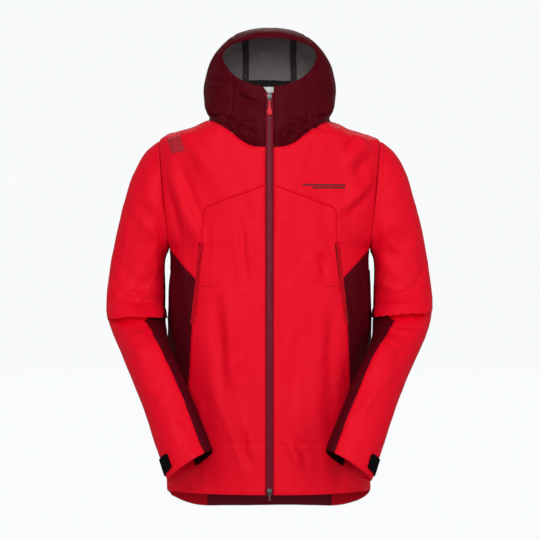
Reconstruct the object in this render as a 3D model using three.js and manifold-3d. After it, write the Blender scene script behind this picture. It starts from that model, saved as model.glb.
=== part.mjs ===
// Hooded hardshell jacket, hanging open and empty as if worn, arms bent a little forward.
// Millimetres, +Z up, the front faces -Y and the wearer's left is +X. The jacket hangs from
// its neck loop: the origin is the middle of the underside of the loop's straight run.
import * as THREE from 'three';
import { mergeVertices } from 'three/addons/utils/BufferGeometryUtils.js';
import Module from 'manifold-3d';

const wasm = await Module();
wasm.setup();

// Driving dimensions. Heights are above the hem datum, depths are from the side-seam plane.
const bodyLength = 728;        // hem datum to shoulder point
const chestHalf = 200.5;       // half width at the underarm
const hemHalf = 199;           // half width at the hem
const hemBack = 128;           // depth of the back at the hem
const armholeDepth = 220;      // shoulder point down to the underarm
const shoulderSpread = 20.5;   // shoulder point, outward of the underarm
const armholeBulge = 32;       // how far the chest section runs past the underarm, before the cut
const neckHalf = 121;          // half width of the neck hole
const neckRise = 40;           // shoulder point up to the neck's side
const hoodHalf = 133;          // half width of the hood
const hoodRise = 222;          // shoulder point up to the crown
const hoodBack = 130;          // depth of the hood's back
const wall = 1.0;              // the laminate, with its lining
const seamGap = 0.3;           // between neighbouring panels
const armholeGap = 0.9;        // between the body and a sleeve's first ring
const layerGap = 0.4;          // between a panel and a piece bonded on it
const hemFront = 33;           // height of the front hem
const hemSide = 26;            // height of the side hem
const hemTail = -16;           // height of the back hem: the drop tail
const zipFrontLow = 134;       // depth of the front zip at the front hem
const zipFrontHigh = 113;      // depth of the front zip at the chin
const chinHeight = 98;         // shoulder point up to the collar's top edge at the chin
const zipOpen = 13;            // stretch left unzipped above the upper slider
const notchDrop = 23;          // the collar's edges begin to part this far below the chin
const tapeWidth = 7.4;         // zip tape and chain, from the centre line
const chainWidth = 2.8;        // one row of teeth
const chainThick = 2.2;
const chainGap = 1.0;          // slit between the two rows
const tapeThick = 0.8;
const sliderLength = 10;
const sliderHalf = 4.4;
const sliderPlate = 1.6;
const webThick = 0.4;          // the divider, in the slit
const runGap = 0.4;            // running clearance of sliders and pulls
const pocketZipTop = 208;      // shoulder point down to the pocket zip's upper end
const pocketZipLength = 158;
const pocketZipHalf = 4;       // half width of a pocket zip
const cuffTabLength = 1.36;     // radians of the cuff that a tab wraps
const loopHalf = 26;           // half width of the neck loop
const loopDrop = 18;           // height of the neck loop
const loopTape = 8;            // width of its tape
const loopThick = 1.2;
const columns = 30;            // facets round the body

const shoulderHalf = chestHalf + shoulderSpread;
const underarmZ = bodyLength - armholeDepth;
const neckZ = bodyLength + neckRise;
const crownZ = bodyLength + hoodRise;
const chinZ = bodyLength + chinHeight;
const loopZ = neckZ + 32;

const red = { color: 0xe60f2a, roughness: 0.62 };
const burgundy = { color: 0x56161f, roughness: 0.62 };
const grey = { color: 0x4a4444, roughness: 0.85 };
const darkTape = { color: 0x262424, roughness: 0.6 };
const paleGrey = { color: 0xc6c6c2, roughness: 0.95 };
const black = { color: 0x101010, roughness: 0.8 };
const gunmetal = { color: 0x33363a, roughness: 0.35, metalness: 0.9 };
const reflector = { color: 0xb22a36, roughness: 0.35 };
const pullRed = { color: 0xe81e2c, roughness: 0.45 };

// ---- geometry helpers

function solid(geometry) {
  const bare = geometry.clone();
  bare.deleteAttribute('normal');
  bare.deleteAttribute('uv');
  const merged = mergeVertices(bare, 1e-4);
  const made = new wasm.Manifold(new wasm.Mesh({
    numProp: 3,
    vertProperties: new Float32Array(merged.attributes.position.array),
    triVerts: new Uint32Array(merged.index.array),
  }));
  return made;
}

function geometryOf(made) {
  const { vertProperties, triVerts } = made.getMesh();
  const geometry = new THREE.BufferGeometry();
  geometry.setAttribute('position', new THREE.BufferAttribute(vertProperties.slice(), 3));
  geometry.setIndex(new THREE.BufferAttribute(triVerts.slice(), 1));
  return geometry;
}

function mirrored(geometry) {
  const other = geometry.clone();
  other.scale(-1, 1, 1);
  other.index.array.reverse();
  return other;
}

// An outline drawn in the front view [x, z] and run through the depths low to high.
function frontPrism(outline, low, high) {
  const shape = new THREE.Shape(outline.map(([x, z]) => new THREE.Vector2(x, z)));
  const geometry = new THREE.ExtrudeGeometry(shape, { depth: high - low, bevelEnabled: false });
  geometry.rotateX(Math.PI / 2);
  geometry.translate(0, high, 0);
  return solid(geometry);
}

// An outline drawn in the side view [y, z] and run across the whole width.
function sidePrism(outline) {
  const reach = 600;
  const shape = new THREE.Shape(outline.map(([y, z]) => new THREE.Vector2(y, z)));
  const geometry = new THREE.ExtrudeGeometry(shape, { depth: 2 * reach, bevelEnabled: false });
  geometry.translate(0, 0, -reach);
  const turn = new THREE.Matrix4().makeBasis(
    new THREE.Vector3(0, 1, 0), new THREE.Vector3(0, 0, 1), new THREE.Vector3(1, 0, 0));
  return solid(geometry.applyMatrix4(turn));
}

// Moves each edge of a closed outline outward by a distance.
function grown(outline, distance) {
  const area = outline.reduce((sum, [x, z], i) => {
    const [a, b] = outline[(i + 1) % outline.length];
    return sum + x * b - a * z;
  }, 0);
  const side = Math.sign(area) * distance;
  return outline.map((corner, i) => {
    const before = new THREE.Vector2(...outline[(i + outline.length - 1) % outline.length]);
    const here = new THREE.Vector2(...corner);
    const after = new THREE.Vector2(...outline[(i + 1) % outline.length]);
    const into = here.clone().sub(before).normalize();
    const out = after.clone().sub(here).normalize();
    const normal = new THREE.Vector2(into.y + out.y, -into.x - out.x).normalize();
    const spread = Math.max(0.3, normal.x * into.y - normal.y * into.x);
    return [here.x + normal.x * side / spread, here.y + normal.y * side / spread];
  });
}

// A smooth curve through rows of [position, value, value, ...], read at a position.
function curveThrough(rows, position) {
  const last = rows.length - 1;
  const at = Math.min(Math.max(position, rows[0][0]), rows[last][0]);
  let i = 0;
  while (i < last - 1 && at > rows[i + 1][0]) i += 1;
  const span = rows[i + 1][0] - rows[i][0];
  const s = (at - rows[i][0]) / span;
  const slope = (k, column) => {
    const a = rows[Math.max(k - 1, 0)];
    const b = rows[Math.min(k + 1, last)];
    return (b[column] - a[column]) / (b[0] - a[0]);
  };
  return rows[0].slice(1).map((_, c) => {
    const column = c + 1;
    const start = rows[i][column] * (1 + 2 * s) * (1 - s) ** 2;
    const end = rows[i + 1][column] * s * s * (3 - 2 * s);
    const lift = slope(i, column) * s * (1 - s) ** 2 - slope(i + 1, column) * s * s * (1 - s);
    return start + end + lift * span;
  });
}

// A thin closed sheet over point(across, along, depth), from one depth to another.
function sheet(point, across, along, outer, inner, closed = false) {
  const wide = closed ? across : across + 1;
  const spots = [];
  const faces = [];
  for (const depth of [outer, inner]) {
    for (let j = 0; j <= along; j += 1) {
      for (let i = 0; i < wide; i += 1) spots.push(...point(i / across, j / along, depth));
    }
  }
  const layer = wide * (along + 1);
  const index = (i, j, k) => k * layer + j * wide + (i % wide);
  const quad = (a, b, c, d) => faces.push(a, b, c, a, c, d);
  for (let j = 0; j < along; j += 1) {
    for (let i = 0; i < across; i += 1) {
      quad(index(i, j, 0), index(i + 1, j, 0), index(i + 1, j + 1, 0), index(i, j + 1, 0));
      quad(index(i, j, 1), index(i, j + 1, 1), index(i + 1, j + 1, 1), index(i + 1, j, 1));
    }
    if (!closed) {
      quad(index(0, j, 0), index(0, j + 1, 0), index(0, j + 1, 1), index(0, j, 1));
      quad(index(across, j, 0), index(across, j, 1), index(across, j + 1, 1), index(across, j + 1, 0));
    }
  }
  for (let i = 0; i < across; i += 1) {
    quad(index(i, 0, 0), index(i, 0, 1), index(i + 1, 0, 1), index(i + 1, 0, 0));
    quad(index(i, along, 0), index(i + 1, along, 0), index(i + 1, along, 1), index(i, along, 1));
  }
  return facingOut(spots, faces);
}

function facingOut(spots, faces) {
  const geometry = new THREE.BufferGeometry();
  const corner = (n) => new THREE.Vector3().fromArray(spots, 3 * faces[n]);
  let volume = 0;
  for (let n = 0; n < faces.length; n += 3) {
    volume += corner(n).dot(corner(n + 1).cross(corner(n + 2)));
  }
  geometry.setAttribute('position', new THREE.Float32BufferAttribute(spots, 3));
  geometry.setIndex(volume < 0 ? faces.reverse() : faces);
  return geometry;
}

// ---- the body and hood, one smooth skin of level sections

const zipSlope = (zipFrontLow - zipFrontHigh) / (chinZ - hemFront);
const zipDepth = (z) => zipFrontLow - (z - hemFront) * zipSlope;

// Height, half width, back depth.
const bodySections = [
  [-60, hemHalf, hemBack],
  [150, hemHalf + 1, 129],
  [330, chestHalf + 1, 130],
  [underarmZ - 80, chestHalf + 1, 130],
  [underarmZ - 1, chestHalf - 1, 131],
  [underarmZ + 24, chestHalf + 0.5 * armholeBulge, 131],
  [underarmZ + 60, chestHalf + 0.85 * armholeBulge, 130],
  [underarmZ + 115, chestHalf + armholeBulge, 126],
  [bodyLength - 46, shoulderHalf + 12, 118],
  [bodyLength - 18, shoulderHalf + 6, 112],
  [bodyLength + 1, shoulderHalf - 4, 106],
  [bodyLength + 14, shoulderHalf - 36, 101],
  [bodyLength + 27, neckHalf + 28, 97],
  [neckZ, neckHalf, 94],
  [neckZ + 13, neckHalf + 3, 94],
  [neckZ + 28, hoodHalf - 4, 97],
  [bodyLength + 97, hoodHalf, 112],
  [bodyLength + 122, hoodHalf - 3, hoodBack - 7],
  [crownZ - 68, hoodHalf - 13, hoodBack],
  [crownZ - 39, hoodHalf - 33, hoodBack - 8],
  [crownZ - 21, hoodHalf - 54, hoodBack - 30],
  [crownZ - 8, hoodHalf - 82, hoodBack - 62],
  [crownZ, 14, 30],
];

// Height, front depth, above the chin.
const browSections = [
  [chinZ, zipFrontHigh],
  [chinZ + 40, zipFrontHigh + 1],
  [crownZ - 42, zipFrontHigh + 4],
  [crownZ - 24, zipFrontHigh + 1],
  [crownZ - 14, zipFrontHigh - 12],
  [crownZ - 6, zipFrontHigh - 42],
  [crownZ, 40],
];
const roundness = 2.3;

function sectionAt(z) {
  const [half, back] = curveThrough(bodySections, z);
  const front = z < chinZ ? zipDepth(z) : curveThrough(browSections, z)[0];
  return { half, front, back };
}

function skinPoint(turn, z) {
  const { half, front, back } = sectionAt(z);
  const bend = (v) => Math.sign(v) * Math.abs(v) ** (2 / roundness);
  const side = bend(Math.sin(turn));
  const depth = -bend(Math.cos(turn));
  return new THREE.Vector3(half * side, depth * (depth < 0 ? front : back), z);
}

// Outward direction of the skin, from two short steps over it.
function skinNormal(turn, z) {
  const round = skinPoint(turn + 0.02, z).sub(skinPoint(turn - 0.02, z));
  const up = skinPoint(turn, z + 1.5).sub(skinPoint(turn, z - 1.5));
  return round.cross(up).normalize();
}

function skinAt(turn, z, depth) {
  return skinPoint(turn, z).addScaledVector(skinNormal(turn, z), -depth);
}

const ladder = (low, high, steps) => Array.from({ length: steps }, (_, i) => low + (high - low) * i / steps);
const bodyRows = [
  ...ladder(-60, underarmZ - 40, 5),
  ...ladder(underarmZ - 40, bodyLength - 30, 5),
  ...ladder(bodyLength - 30, neckZ, 5),
  ...ladder(neckZ, crownZ - 45, 4),
  ...ladder(crownZ - 45, crownZ - 2, 5),
  crownZ - 2,
];

// The whole skin from one depth to another, closed over the crown and open at the hem.
function skinLayer(outer, inner) {
  const spots = [];
  const faces = [];
  const rows = bodyRows.length;
  for (const depth of [outer, inner]) {
    for (const z of bodyRows) {
      for (let i = 0; i < columns; i += 1) spots.push(...skinAt(2 * Math.PI * i / columns, z, depth));
    }
    spots.push(0, 0, crownZ - depth);
  }
  const layer = rows * columns + 1;
  const index = (i, j, k) => k * layer + j * columns + (i % columns);
  for (let i = 0; i < columns; i += 1) {
    for (const k of [0, 1]) {
      const flip = (a, b, c) => (k ? faces.push(a, c, b) : faces.push(a, b, c));
      for (let j = 0; j < rows - 1; j += 1) {
        flip(index(i, j, k), index(i + 1, j, k), index(i + 1, j + 1, k));
        flip(index(i, j, k), index(i + 1, j + 1, k), index(i, j + 1, k));
      }
      flip(index(i, rows - 1, k), index(i + 1, rows - 1, k), k * layer + rows * columns);
    }
    faces.push(index(i, 0, 0), index(i, 0, 1), index(i + 1, 0, 1));
    faces.push(index(i, 0, 0), index(i + 1, 0, 1), index(i + 1, 0, 0));
  }
  return solid(facingOut(spots, faces));
}

// ---- seam lines, drawn for the wearer's left in the front view

const far = 600;
const rectangle = (x0, x1, z0, z1) => [[x0, z0], [x1, z0], [x1, z1], [x0, z1]];
const pocketTopZ = bodyLength - pocketZipTop;
const pocketLowZ = pocketTopZ - pocketZipLength;
const pocketTopX = chestHalf - 67;
const pocketLowX = chestHalf - 49.5;
const sideTipZ = pocketTopZ - 73;
const sideTipX = pocketTopX + (pocketLowX - pocketTopX) * (pocketTopZ - sideTipZ) / pocketZipLength;

const sidePanelOutline = [
  [far, underarmZ + 12], [chestHalf + 6, underarmZ + 12], [sideTipX, sideTipZ],
  [pocketLowX, pocketLowZ], [chestHalf - 42, 250], [chestHalf - 34, 170],
  [chestHalf - 18, 110], [chestHalf + 8, 78], [far, 78],
];
const chestYokeOutline = [
  [-2, bodyLength - 93], [16, bodyLength - 99], [75, bodyLength - 122], [pocketTopX - 9, bodyLength - 138],
  [pocketTopX - 2, bodyLength - 152], [pocketTopX - 1, pocketTopZ + 12], [pocketTopX, pocketTopZ - 2],
  [sideTipX, sideTipZ], [far, sideTipZ], [far, far + bodyLength], [-2, far + bodyLength],
];
const neckOutline = [
  [-8, bodyLength - 21], [8, bodyLength - 21], [46, bodyLength - 16], [78, bodyLength + 12],
  [neckHalf - 4, neckZ - 4], [far, neckZ + 2], [far, crownZ + 50],
  [-far, crownZ + 50], [-far, neckZ + 2], [-neckHalf + 4, neckZ - 4], [-78, bodyLength + 12],
  [-46, bodyLength - 16],
];
const napeOutline = [
  [-0.2, neckZ + 2], [70, neckZ + 16], [200, neckZ + 18], [200, crownZ + 50], [-0.2, crownZ + 50],
];
const faceOutline = [];
for (let i = 0; i < 20; i += 1) {
  const turn = 2 * Math.PI * i / 20;
  const up = Math.sin(turn);
  const lift = up > 0 ? 32 * up ** 0.8 : -61 * (-up) ** 1.25;
  faceOutline.push([93 * Math.sign(Math.cos(turn)) * Math.abs(Math.cos(turn)) ** 0.85, crownZ - 63 + lift]);
}

// ---- the body

const slotHalf = tapeWidth + layerGap;
const slot = frontPrism(rectangle(-slotHalf, slotHalf, -80, chinZ + 2), -300, -30);
const chinNotch = frontPrism(
  [[-slotHalf, chinZ - notchDrop], [slotHalf, chinZ - notchDrop],
    [slotHalf + 4, chinZ + 8], [-slotHalf - 9, chinZ + 8]],
  -300, -30);
const armholeTilt = shoulderSpread / armholeDepth;
const armholeCutter = frontPrism([
  [chestHalf - 0.5 - armholeTilt * 8 - armholeGap, underarmZ - 8],
  [shoulderHalf + armholeTilt * 40 - armholeGap, bodyLength + 40],
  [far, bodyLength + 40], [far, underarmZ - 8],
], -300, 300);
const armholeCutters = armholeCutter.add(solid(mirrored(geometryOf(armholeCutter))));
const hemCutter = sidePrism([
  [-300, hemFront], [-100, hemFront - 1], [0, hemSide], [70, hemTail + 14], [110, hemTail], [300, hemTail],
  [300, -200], [-300, -200],
]);
const neckFront = (gap) => frontPrism(grown(neckOutline, gap), -300, gap);
const napeBack = (gap) => sidePrism(grown(napeOutline, gap));

const skin = skinLayer(0, wall);
const body = skin.subtract(neckFront(seamGap)).subtract(napeBack(seamGap))
  .subtract(armholeCutters).subtract(hemCutter).subtract(slot);
const hood = skin.intersect(neckFront(0).add(napeBack(0)));

// Every pocket zip has its own straight frame: origin at its middle, +Z up along it, -Y outward.
function surfaceFrame(x, z) {
  const { half } = sectionAt(z);
  const side = (Math.abs(x) / half) ** roundness;
  const turn = Math.atan2(Math.abs(x / half) ** (roundness / 2), (1 - side) ** 0.5) * Math.sign(x);
  return { spot: skinPoint(turn, z), normal: skinNormal(turn, z) };
}

function pocketMatrix() {
  const top = surfaceFrame(pocketTopX, pocketTopZ).spot;
  const low = surfaceFrame(pocketLowX, pocketLowZ).spot;
  const middle = top.clone().add(low).multiplyScalar(0.5);
  const up = top.clone().sub(low).normalize();
  const outward = surfaceFrame(middle.x, middle.z).normal;
  const across = up.clone().cross(outward).normalize();
  const inward = up.clone().cross(across).normalize();
  return new THREE.Matrix4().makeBasis(across, inward, up).setPosition(middle);
}
const pocketFrame = pocketMatrix();
const pocketSlotBox = new THREE.BoxGeometry(
  2 * (pocketZipHalf + seamGap), 26, pocketZipLength + 2 * seamGap).applyMatrix4(pocketFrame);
const pocketSlot = solid(pocketSlotBox);

const jacket = new THREE.Group();
jacket.position.set(0, -(sectionAt(loopZ).back - wall - layerGap - loopTape / 2 - 4.5), -loopZ);

function place(name, geometry, look, parent = jacket) {
  const material = new THREE.MeshStandardMaterial({ metalness: 0, ...look });
  const mesh = new THREE.Mesh(geometry, material);
  mesh.name = name;
  parent.add(mesh);
  return mesh;
}

function placePair(name, geometry, look) {
  place(`${name}_L`, geometry, look);
  place(`${name}_R`, mirrored(geometry), look);
}

const shoulderSeamY = 12;
const reachFront = (outline) => frontPrism(outline, -300, shoulderSeamY);
const leftHalf = frontPrism(rectangle(seamGap, far, -200, far * 2), -300, 300);
const leftBody = body.intersect(leftHalf).subtract(pocketSlot);
const backHalf = frontPrism(rectangle(-far, far, -200, far * 2), shoulderSeamY + seamGap, 300);

const sidePanelSolid = leftBody.intersect(frontPrism(sidePanelOutline, -300, 300));
const sideCut = frontPrism(grown(sidePanelOutline, seamGap), -300, 300);
const leftRest = leftBody.subtract(sideCut);
const chestYoke = leftRest.intersect(reachFront(chestYokeOutline));
const frontPanel = leftRest.subtract(reachFront(grown(chestYokeOutline, seamGap))).subtract(backHalf)
  .intersect(reachFront(rectangle(0, far, -200, far * 2)));
placePair('front_panel', geometryOf(frontPanel), red);
placePair('chest_yoke', geometryOf(chestYoke), red);
placePair('side_panel', geometryOf(sidePanelSolid), burgundy);

const sideCuts = sideCut.add(solid(mirrored(geometryOf(sideCut))));
const back = body.intersect(backHalf).subtract(sideCuts);
const backSeamZ = bodyLength - 150;
const yokeBox = rectangle(-far, far, backSeamZ, far * 2);
place('back_yoke', geometryOf(back.intersect(frontPrism(yokeBox, -300, 300))), red);
place('back_panel', geometryOf(back.subtract(frontPrism(grown(yokeBox, seamGap), -300, 300))), red);

// ---- pieces laid on or under the skin

function onSkin(outer, inner, cutter) {
  return geometryOf(skinLayer(outer, inner).intersect(cutter));
}

const inside = wall + layerGap;
const backPart = frontPrism(rectangle(-far, far, -200, far * 2), 20, 300);
const hemBand = sidePrism([
  [0, hemSide + 30], [70, hemTail + 44], [110, hemTail + 30], [300, hemTail + 30], [300, hemTail + 1],
  [110, hemTail + 1], [70, hemTail + 15], [0, hemSide + 1],
]);
place('hem_facing', onSkin(inside, inside + 0.8, hemBand.intersect(backPart)), burgundy);

const weltOutline = [
  [pocketTopX - pocketZipHalf - 1.5, pocketTopZ - 3], [pocketTopX - 35, pocketTopZ - 14],
  [pocketTopX - 31, pocketTopZ - 84], [pocketTopX - pocketZipHalf + 7, pocketTopZ - 84],
];
placePair('pocket_welt', onSkin(-layerGap - 0.7, -layerGap, frontPrism(weltOutline, -300, 0)), red);

const bagOutline = [
  [pocketTopX + 14, pocketTopZ - 4], [pocketTopX - 30, pocketTopZ - 2], [pocketTopX - 104, pocketTopZ - 40],
  [pocketTopX - 108, pocketLowZ - 40], [pocketTopX - 60, pocketLowZ - 62], [pocketLowX + 6, pocketLowZ - 40],
];
placePair('pocket_bag', onSkin(wall + 4.6, wall + 6.2, frontPrism(bagOutline, -300, 0)), darkTape);

const emblemOutline = rectangle(64, 148, bodyLength - 99, bodyLength - 94);
place('chest_emblem', onSkin(-layerGap - 0.3, -layerGap, frontPrism(emblemOutline, -300, 0)), burgundy);

const patchOutline = [
  [-201, bodyLength - 2], [-176, bodyLength + 8], [-165, bodyLength - 24], [-191, bodyLength - 30],
];
const shoulderReflector = frontPrism(patchOutline, -300, 0);
place('shoulder_patch', onSkin(-layerGap - 0.4, -layerGap, shoulderReflector), reflector);

const guardLow = chinZ - 54;
const flapHalf = 19;
const flapDepth = wall + 4.2;
const guardOutline = rectangle(-flapHalf, flapHalf, guardLow + seamGap, chinZ - 1.5);
place('chin_guard', onSkin(flapDepth, flapDepth + 1, frontPrism(guardOutline, -300, 0)), paleGrey);
const flapOutline = rectangle(-flapHalf, flapHalf, hemFront + 4, guardLow);
place('storm_flap', onSkin(flapDepth, flapDepth + 1, frontPrism(flapOutline, -300, 0)), burgundy);

// ---- the hood

const face = frontPrism(faceOutline, -300, -25);
const hoodShell = hood.subtract(slot).subtract(chinNotch).subtract(face);
const brimOutline = [
  [-300, crownZ - 84], [-82, crownZ - 84], [-66, crownZ - 40], [-60, crownZ + 20], [-300, crownZ + 20],
];
const brim = hoodShell.intersect(sidePrism(brimOutline));
const belowBrim = hoodShell.subtract(sidePrism(grown(brimOutline, seamGap)));
const collarHalf = 72;
const collarTop = chinZ + 40;
const collarCut = frontPrism(rectangle(0, collarHalf, 0, collarTop), -300, 0);
const collar = belowBrim.intersect(collarCut).intersect(leftHalf);
const frontCut = frontPrism(
  grown(rectangle(-collarHalf, collarHalf, 0, collarTop), seamGap),
  -300, seamGap);
const centreHalf = 50;
const centreOutline = rectangle(-centreHalf, centreHalf, 0, far * 2);
const hoodRest = belowBrim.subtract(frontCut);
place('hood_brim', geometryOf(brim), burgundy);
placePair('collar', geometryOf(collar), burgundy);
place('hood_centre', geometryOf(hoodRest.intersect(frontPrism(centreOutline, -300, 300))), burgundy);
const hoodSides = hoodRest.subtract(frontPrism(grown(centreOutline, seamGap), -300, 300));
placePair('hood_side', geometryOf(hoodSides.intersect(leftHalf)), burgundy);
const tapeOutline = rectangle(centreHalf - 7, centreHalf + 6, neckZ + 24, far * 2);
const tapeClear = 53.2 / hoodHalf;       // a tighter hood bends more between its facets
const tapeStrip = frontPrism(tapeOutline, -58, 300);
placePair('seam_tape', onSkin(inside + tapeClear, inside + tapeClear + 0.5, tapeStrip), darkTape);

// ---- the sleeves

// Outer edge from the shoulder point, inner edge from the underarm, centre depth,
// half depth, lean of the ring in degrees, and how far the under panel reaches round
// from the inner edge to the front and to the back, in degrees.
const sleeveStations = [
  { outer: [0, 0], inner: [0, 0], y: 5, depth: 68, lean: 0, front: 12, back: 40 },
  { outer: [29, -25], inner: [7, -16], y: 5, depth: 66, lean: 0, front: 12, back: 44 },
  { outer: [51, -66], inner: [9, -38], y: 5, depth: 63, lean: 0, front: 12, back: 48 },
  { outer: [68, -120], inner: [9, -60], y: 5, depth: 60, lean: 0, front: 12, back: 52 },
  { outer: [84, -183], inner: [8.5, -82], y: 5, depth: 58, lean: 0, front: 12, back: 54 },
  { outer: [97, -248], inner: [8, -103], y: 5, depth: 57, lean: 0, front: 14, back: 56 },
  { outer: [104, -312], inner: [7.5, -123], y: -3, depth: 57, lean: 2, front: 30, back: 56 },
  { outer: [101, -354], inner: [6, -144], y: -18, depth: 56, lean: 6, front: 70, back: 56 },
  { outer: [86, -394], inner: [2, -172], y: -50, depth: 54, lean: 13, front: 62, back: 56 },
  { outer: [60, -446], inner: [-8, -198], y: -92, depth: 52, lean: 20, front: 55, back: 54 },
  { outer: [24, -525], inner: [-47, -276], y: -130, depth: 49, lean: 22, front: 52, back: 52 },
  { outer: [-1, -595], inner: [-77, -348], y: -158, depth: 45, lean: 20, front: 51, back: 50 },
  { outer: [-26, -663], inner: [-93, -386], y: -178, depth: 41, lean: 17, front: 50, back: 50 },
];

// Below the underarm the armhole's plane runs back into the body, which is left out.
function insideArmhole(p) {
  if (p.z < underarmZ) return false;
  const { half, front, back } = sectionAt(p.z);
  const depth = p.y < 0 ? front : back;
  return (Math.abs(p.x) / half) ** roundness + (Math.abs(p.y) / depth) ** roundness < 1;
}

// A point of one station's ring. The first ring is where the armhole plane cuts the skin.
function ringPoint(n, turn) {
  const s = sleeveStations[n];
  const outer = new THREE.Vector3(shoulderHalf + s.outer[0], s.y, bodyLength + s.outer[1]);
  const inner = new THREE.Vector3(chestHalf - 0.5 + s.inner[0], s.y, underarmZ + s.inner[1]);
  const middle = outer.clone().add(inner).multiplyScalar(0.5);
  const width = outer.sub(middle);
  const lean = THREE.MathUtils.degToRad(s.lean);
  const depth = new THREE.Vector3(0, Math.cos(lean), -Math.sin(lean)).multiplyScalar(s.depth);
  const ray = width.multiplyScalar(Math.cos(turn)).addScaledVector(depth, Math.sin(turn));
  if (n > 0) return middle.add(ray);
  let near = 0;
  let away = 2.5;
  for (let step = 0; step < 30; step += 1) {
    const reach = (near + away) / 2;
    if (insideArmhole(middle.clone().addScaledVector(ray, reach))) near = reach;
    else away = reach;
  }
  return middle.addScaledVector(ray, near);
}

function sleevePoint(turn, station) {
  const last = sleeveStations.length - 1;
  const at = Math.min(Math.max(station, 0), last);
  const i = Math.min(Math.floor(at), last - 1);
  const points = [i - 1, i, i + 1, i + 2].map((n) => ringPoint(Math.min(Math.max(n, 0), last), turn));
  return new THREE.CatmullRomCurve3(points, false, 'catmullrom', 0.5).getPoint((1 + at - i) / 3);
}

function sleeveAt(turn, station, depth) {
  const round = sleevePoint(turn + 0.03, station).sub(sleevePoint(turn - 0.03, station));
  const down = sleevePoint(turn, station + 0.05).sub(sleevePoint(turn, station - 0.05));
  const normal = round.cross(down).normalize();
  return sleevePoint(turn, station).addScaledVector(normal, depth);
}

const sleeveEnd = sleeveStations.length - 1;
const seamTurn = 0.005;

// Angle of the under panel's front or back edge at a station.
function edgeTurn(station, side) {
  const n = Math.min(Math.floor(station), sleeveEnd - 1);
  const degrees = THREE.MathUtils.lerp(sleeveStations[n][side], sleeveStations[n + 1][side], station - n);
  return THREE.MathUtils.degToRad(side === 'front' ? degrees : -degrees);
}

function sleevePanel(across, from, to) {
  return sheet((a, b, depth) => {
    const station = b * sleeveEnd;
    const start = from(station);
    const end = to(station);
    return sleeveAt(start + (end - start) * a, station, depth);
  }, across, sleeveEnd, 0, wall);
}

const underBack = (s) => Math.PI + edgeTurn(s, 'back') + seamTurn;
const underFront = (s) => Math.PI + edgeTurn(s, 'front') - seamTurn;
placePair('sleeve_under', sleevePanel(5, underBack, underFront), burgundy);
placePair('sleeve_outer', sleevePanel(
  12, (s) => underFront(s) + 2 * seamTurn, (s) => underBack(s) + 2 * Math.PI - 2 * seamTurn), red);

const cuffDepth = wall + 1.6;
const cuffFacing = (a, b, depth) => sleeveAt(2 * Math.PI * a, sleeveEnd - 0.75 + 0.74 * b, depth);
placePair('cuff_facing', sheet(cuffFacing, 20, 2, cuffDepth, cuffDepth + 0.8, true), burgundy);

// The cuff tab is sewn at the back of the cuff and its tip wraps the outer edge to the front.
const tabRoot = 0.55;
const tabLow = sleeveEnd - 0.22;
const tabHigh = sleeveEnd - 0.62;
const tabTurn = (a) => tabRoot - cuffTabLength * a;
const tabSpan = (a, b) => {
  const round = 0.16 * Math.max(0, a - 0.75) / 0.25;
  return THREE.MathUtils.lerp(tabHigh + round * 0.3, tabLow - round * 0.3, b);
};
const tabLift = -1.4;
placePair('cuff_tab', sheet((a, b, depth) => sleeveAt(tabTurn(a), tabSpan(a, b), depth),
  7, 1, tabLift - 1.4, tabLift), black);
const cuffPatch = (a, b, depth) => sleeveAt(tabTurn(0.2 + 0.75 * a), tabSpan(0, 0.06 + 0.88 * b), depth);
placePair('cuff_patch', sheet(cuffPatch, 7, 1, -layerGap - 0.5, -layerGap), black);

// ---- the front zip, in a frame that leans with the front: +Z up along it, -Y outward

const zip = new THREE.Group();
zip.position.set(0, -zipDepth(hemFront) + wall / 2, hemFront);
zip.rotation.x = -Math.atan(zipSlope);
jacket.add(zip);
const zipTop = (chinZ - zipOpen - hemFront) / Math.cos(Math.atan(zipSlope));

function bar(x0, x1, y0, y1, z0, z1) {
  const box = new THREE.BoxGeometry(x1 - x0, y1 - y0, z1 - z0);
  return box.translate((x0 + x1) / 2, (y0 + y1) / 2, (z0 + z1) / 2);
}

const pinLength = 12;
const stopLength = 3;
const chainIn = chainGap / 2;
const chainOut = chainIn + chainWidth;
for (const [letter, side] of [['L', 1], ['R', -1]]) {
  const pair = (a, b) => [Math.min(side * a, side * b), Math.max(side * a, side * b)];
  const teeth = pair(chainIn, chainOut);
  const tape = pair(chainOut + seamGap, tapeWidth);
  place(`zip_tape_${letter}`, bar(...tape, -tapeThick / 2, tapeThick / 2, 0, zipTop), burgundy, zip);
  place(`zip_teeth_${letter}`, bar(...teeth, -chainThick / 2, chainThick / 2, pinLength + seamGap,
    zipTop - stopLength - seamGap), burgundy, zip);
  place(`zip_pin_${letter}`, bar(...teeth, -chainThick / 2, chainThick / 2, 0, pinLength), gunmetal, zip);
  place(`zip_stop_${letter}`, bar(...teeth, -1.5, 1.5, zipTop - stopLength, zipTop), gunmetal, zip);
}

// A slider is two plates joined by the divider, with a bridge over the pull's bail.
const plateIn = chainThick / 2 + runGap;
const plateOut = plateIn + sliderPlate;
const bridgeHalf = 0.9;
const bridgeRise = 3.6;

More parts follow.
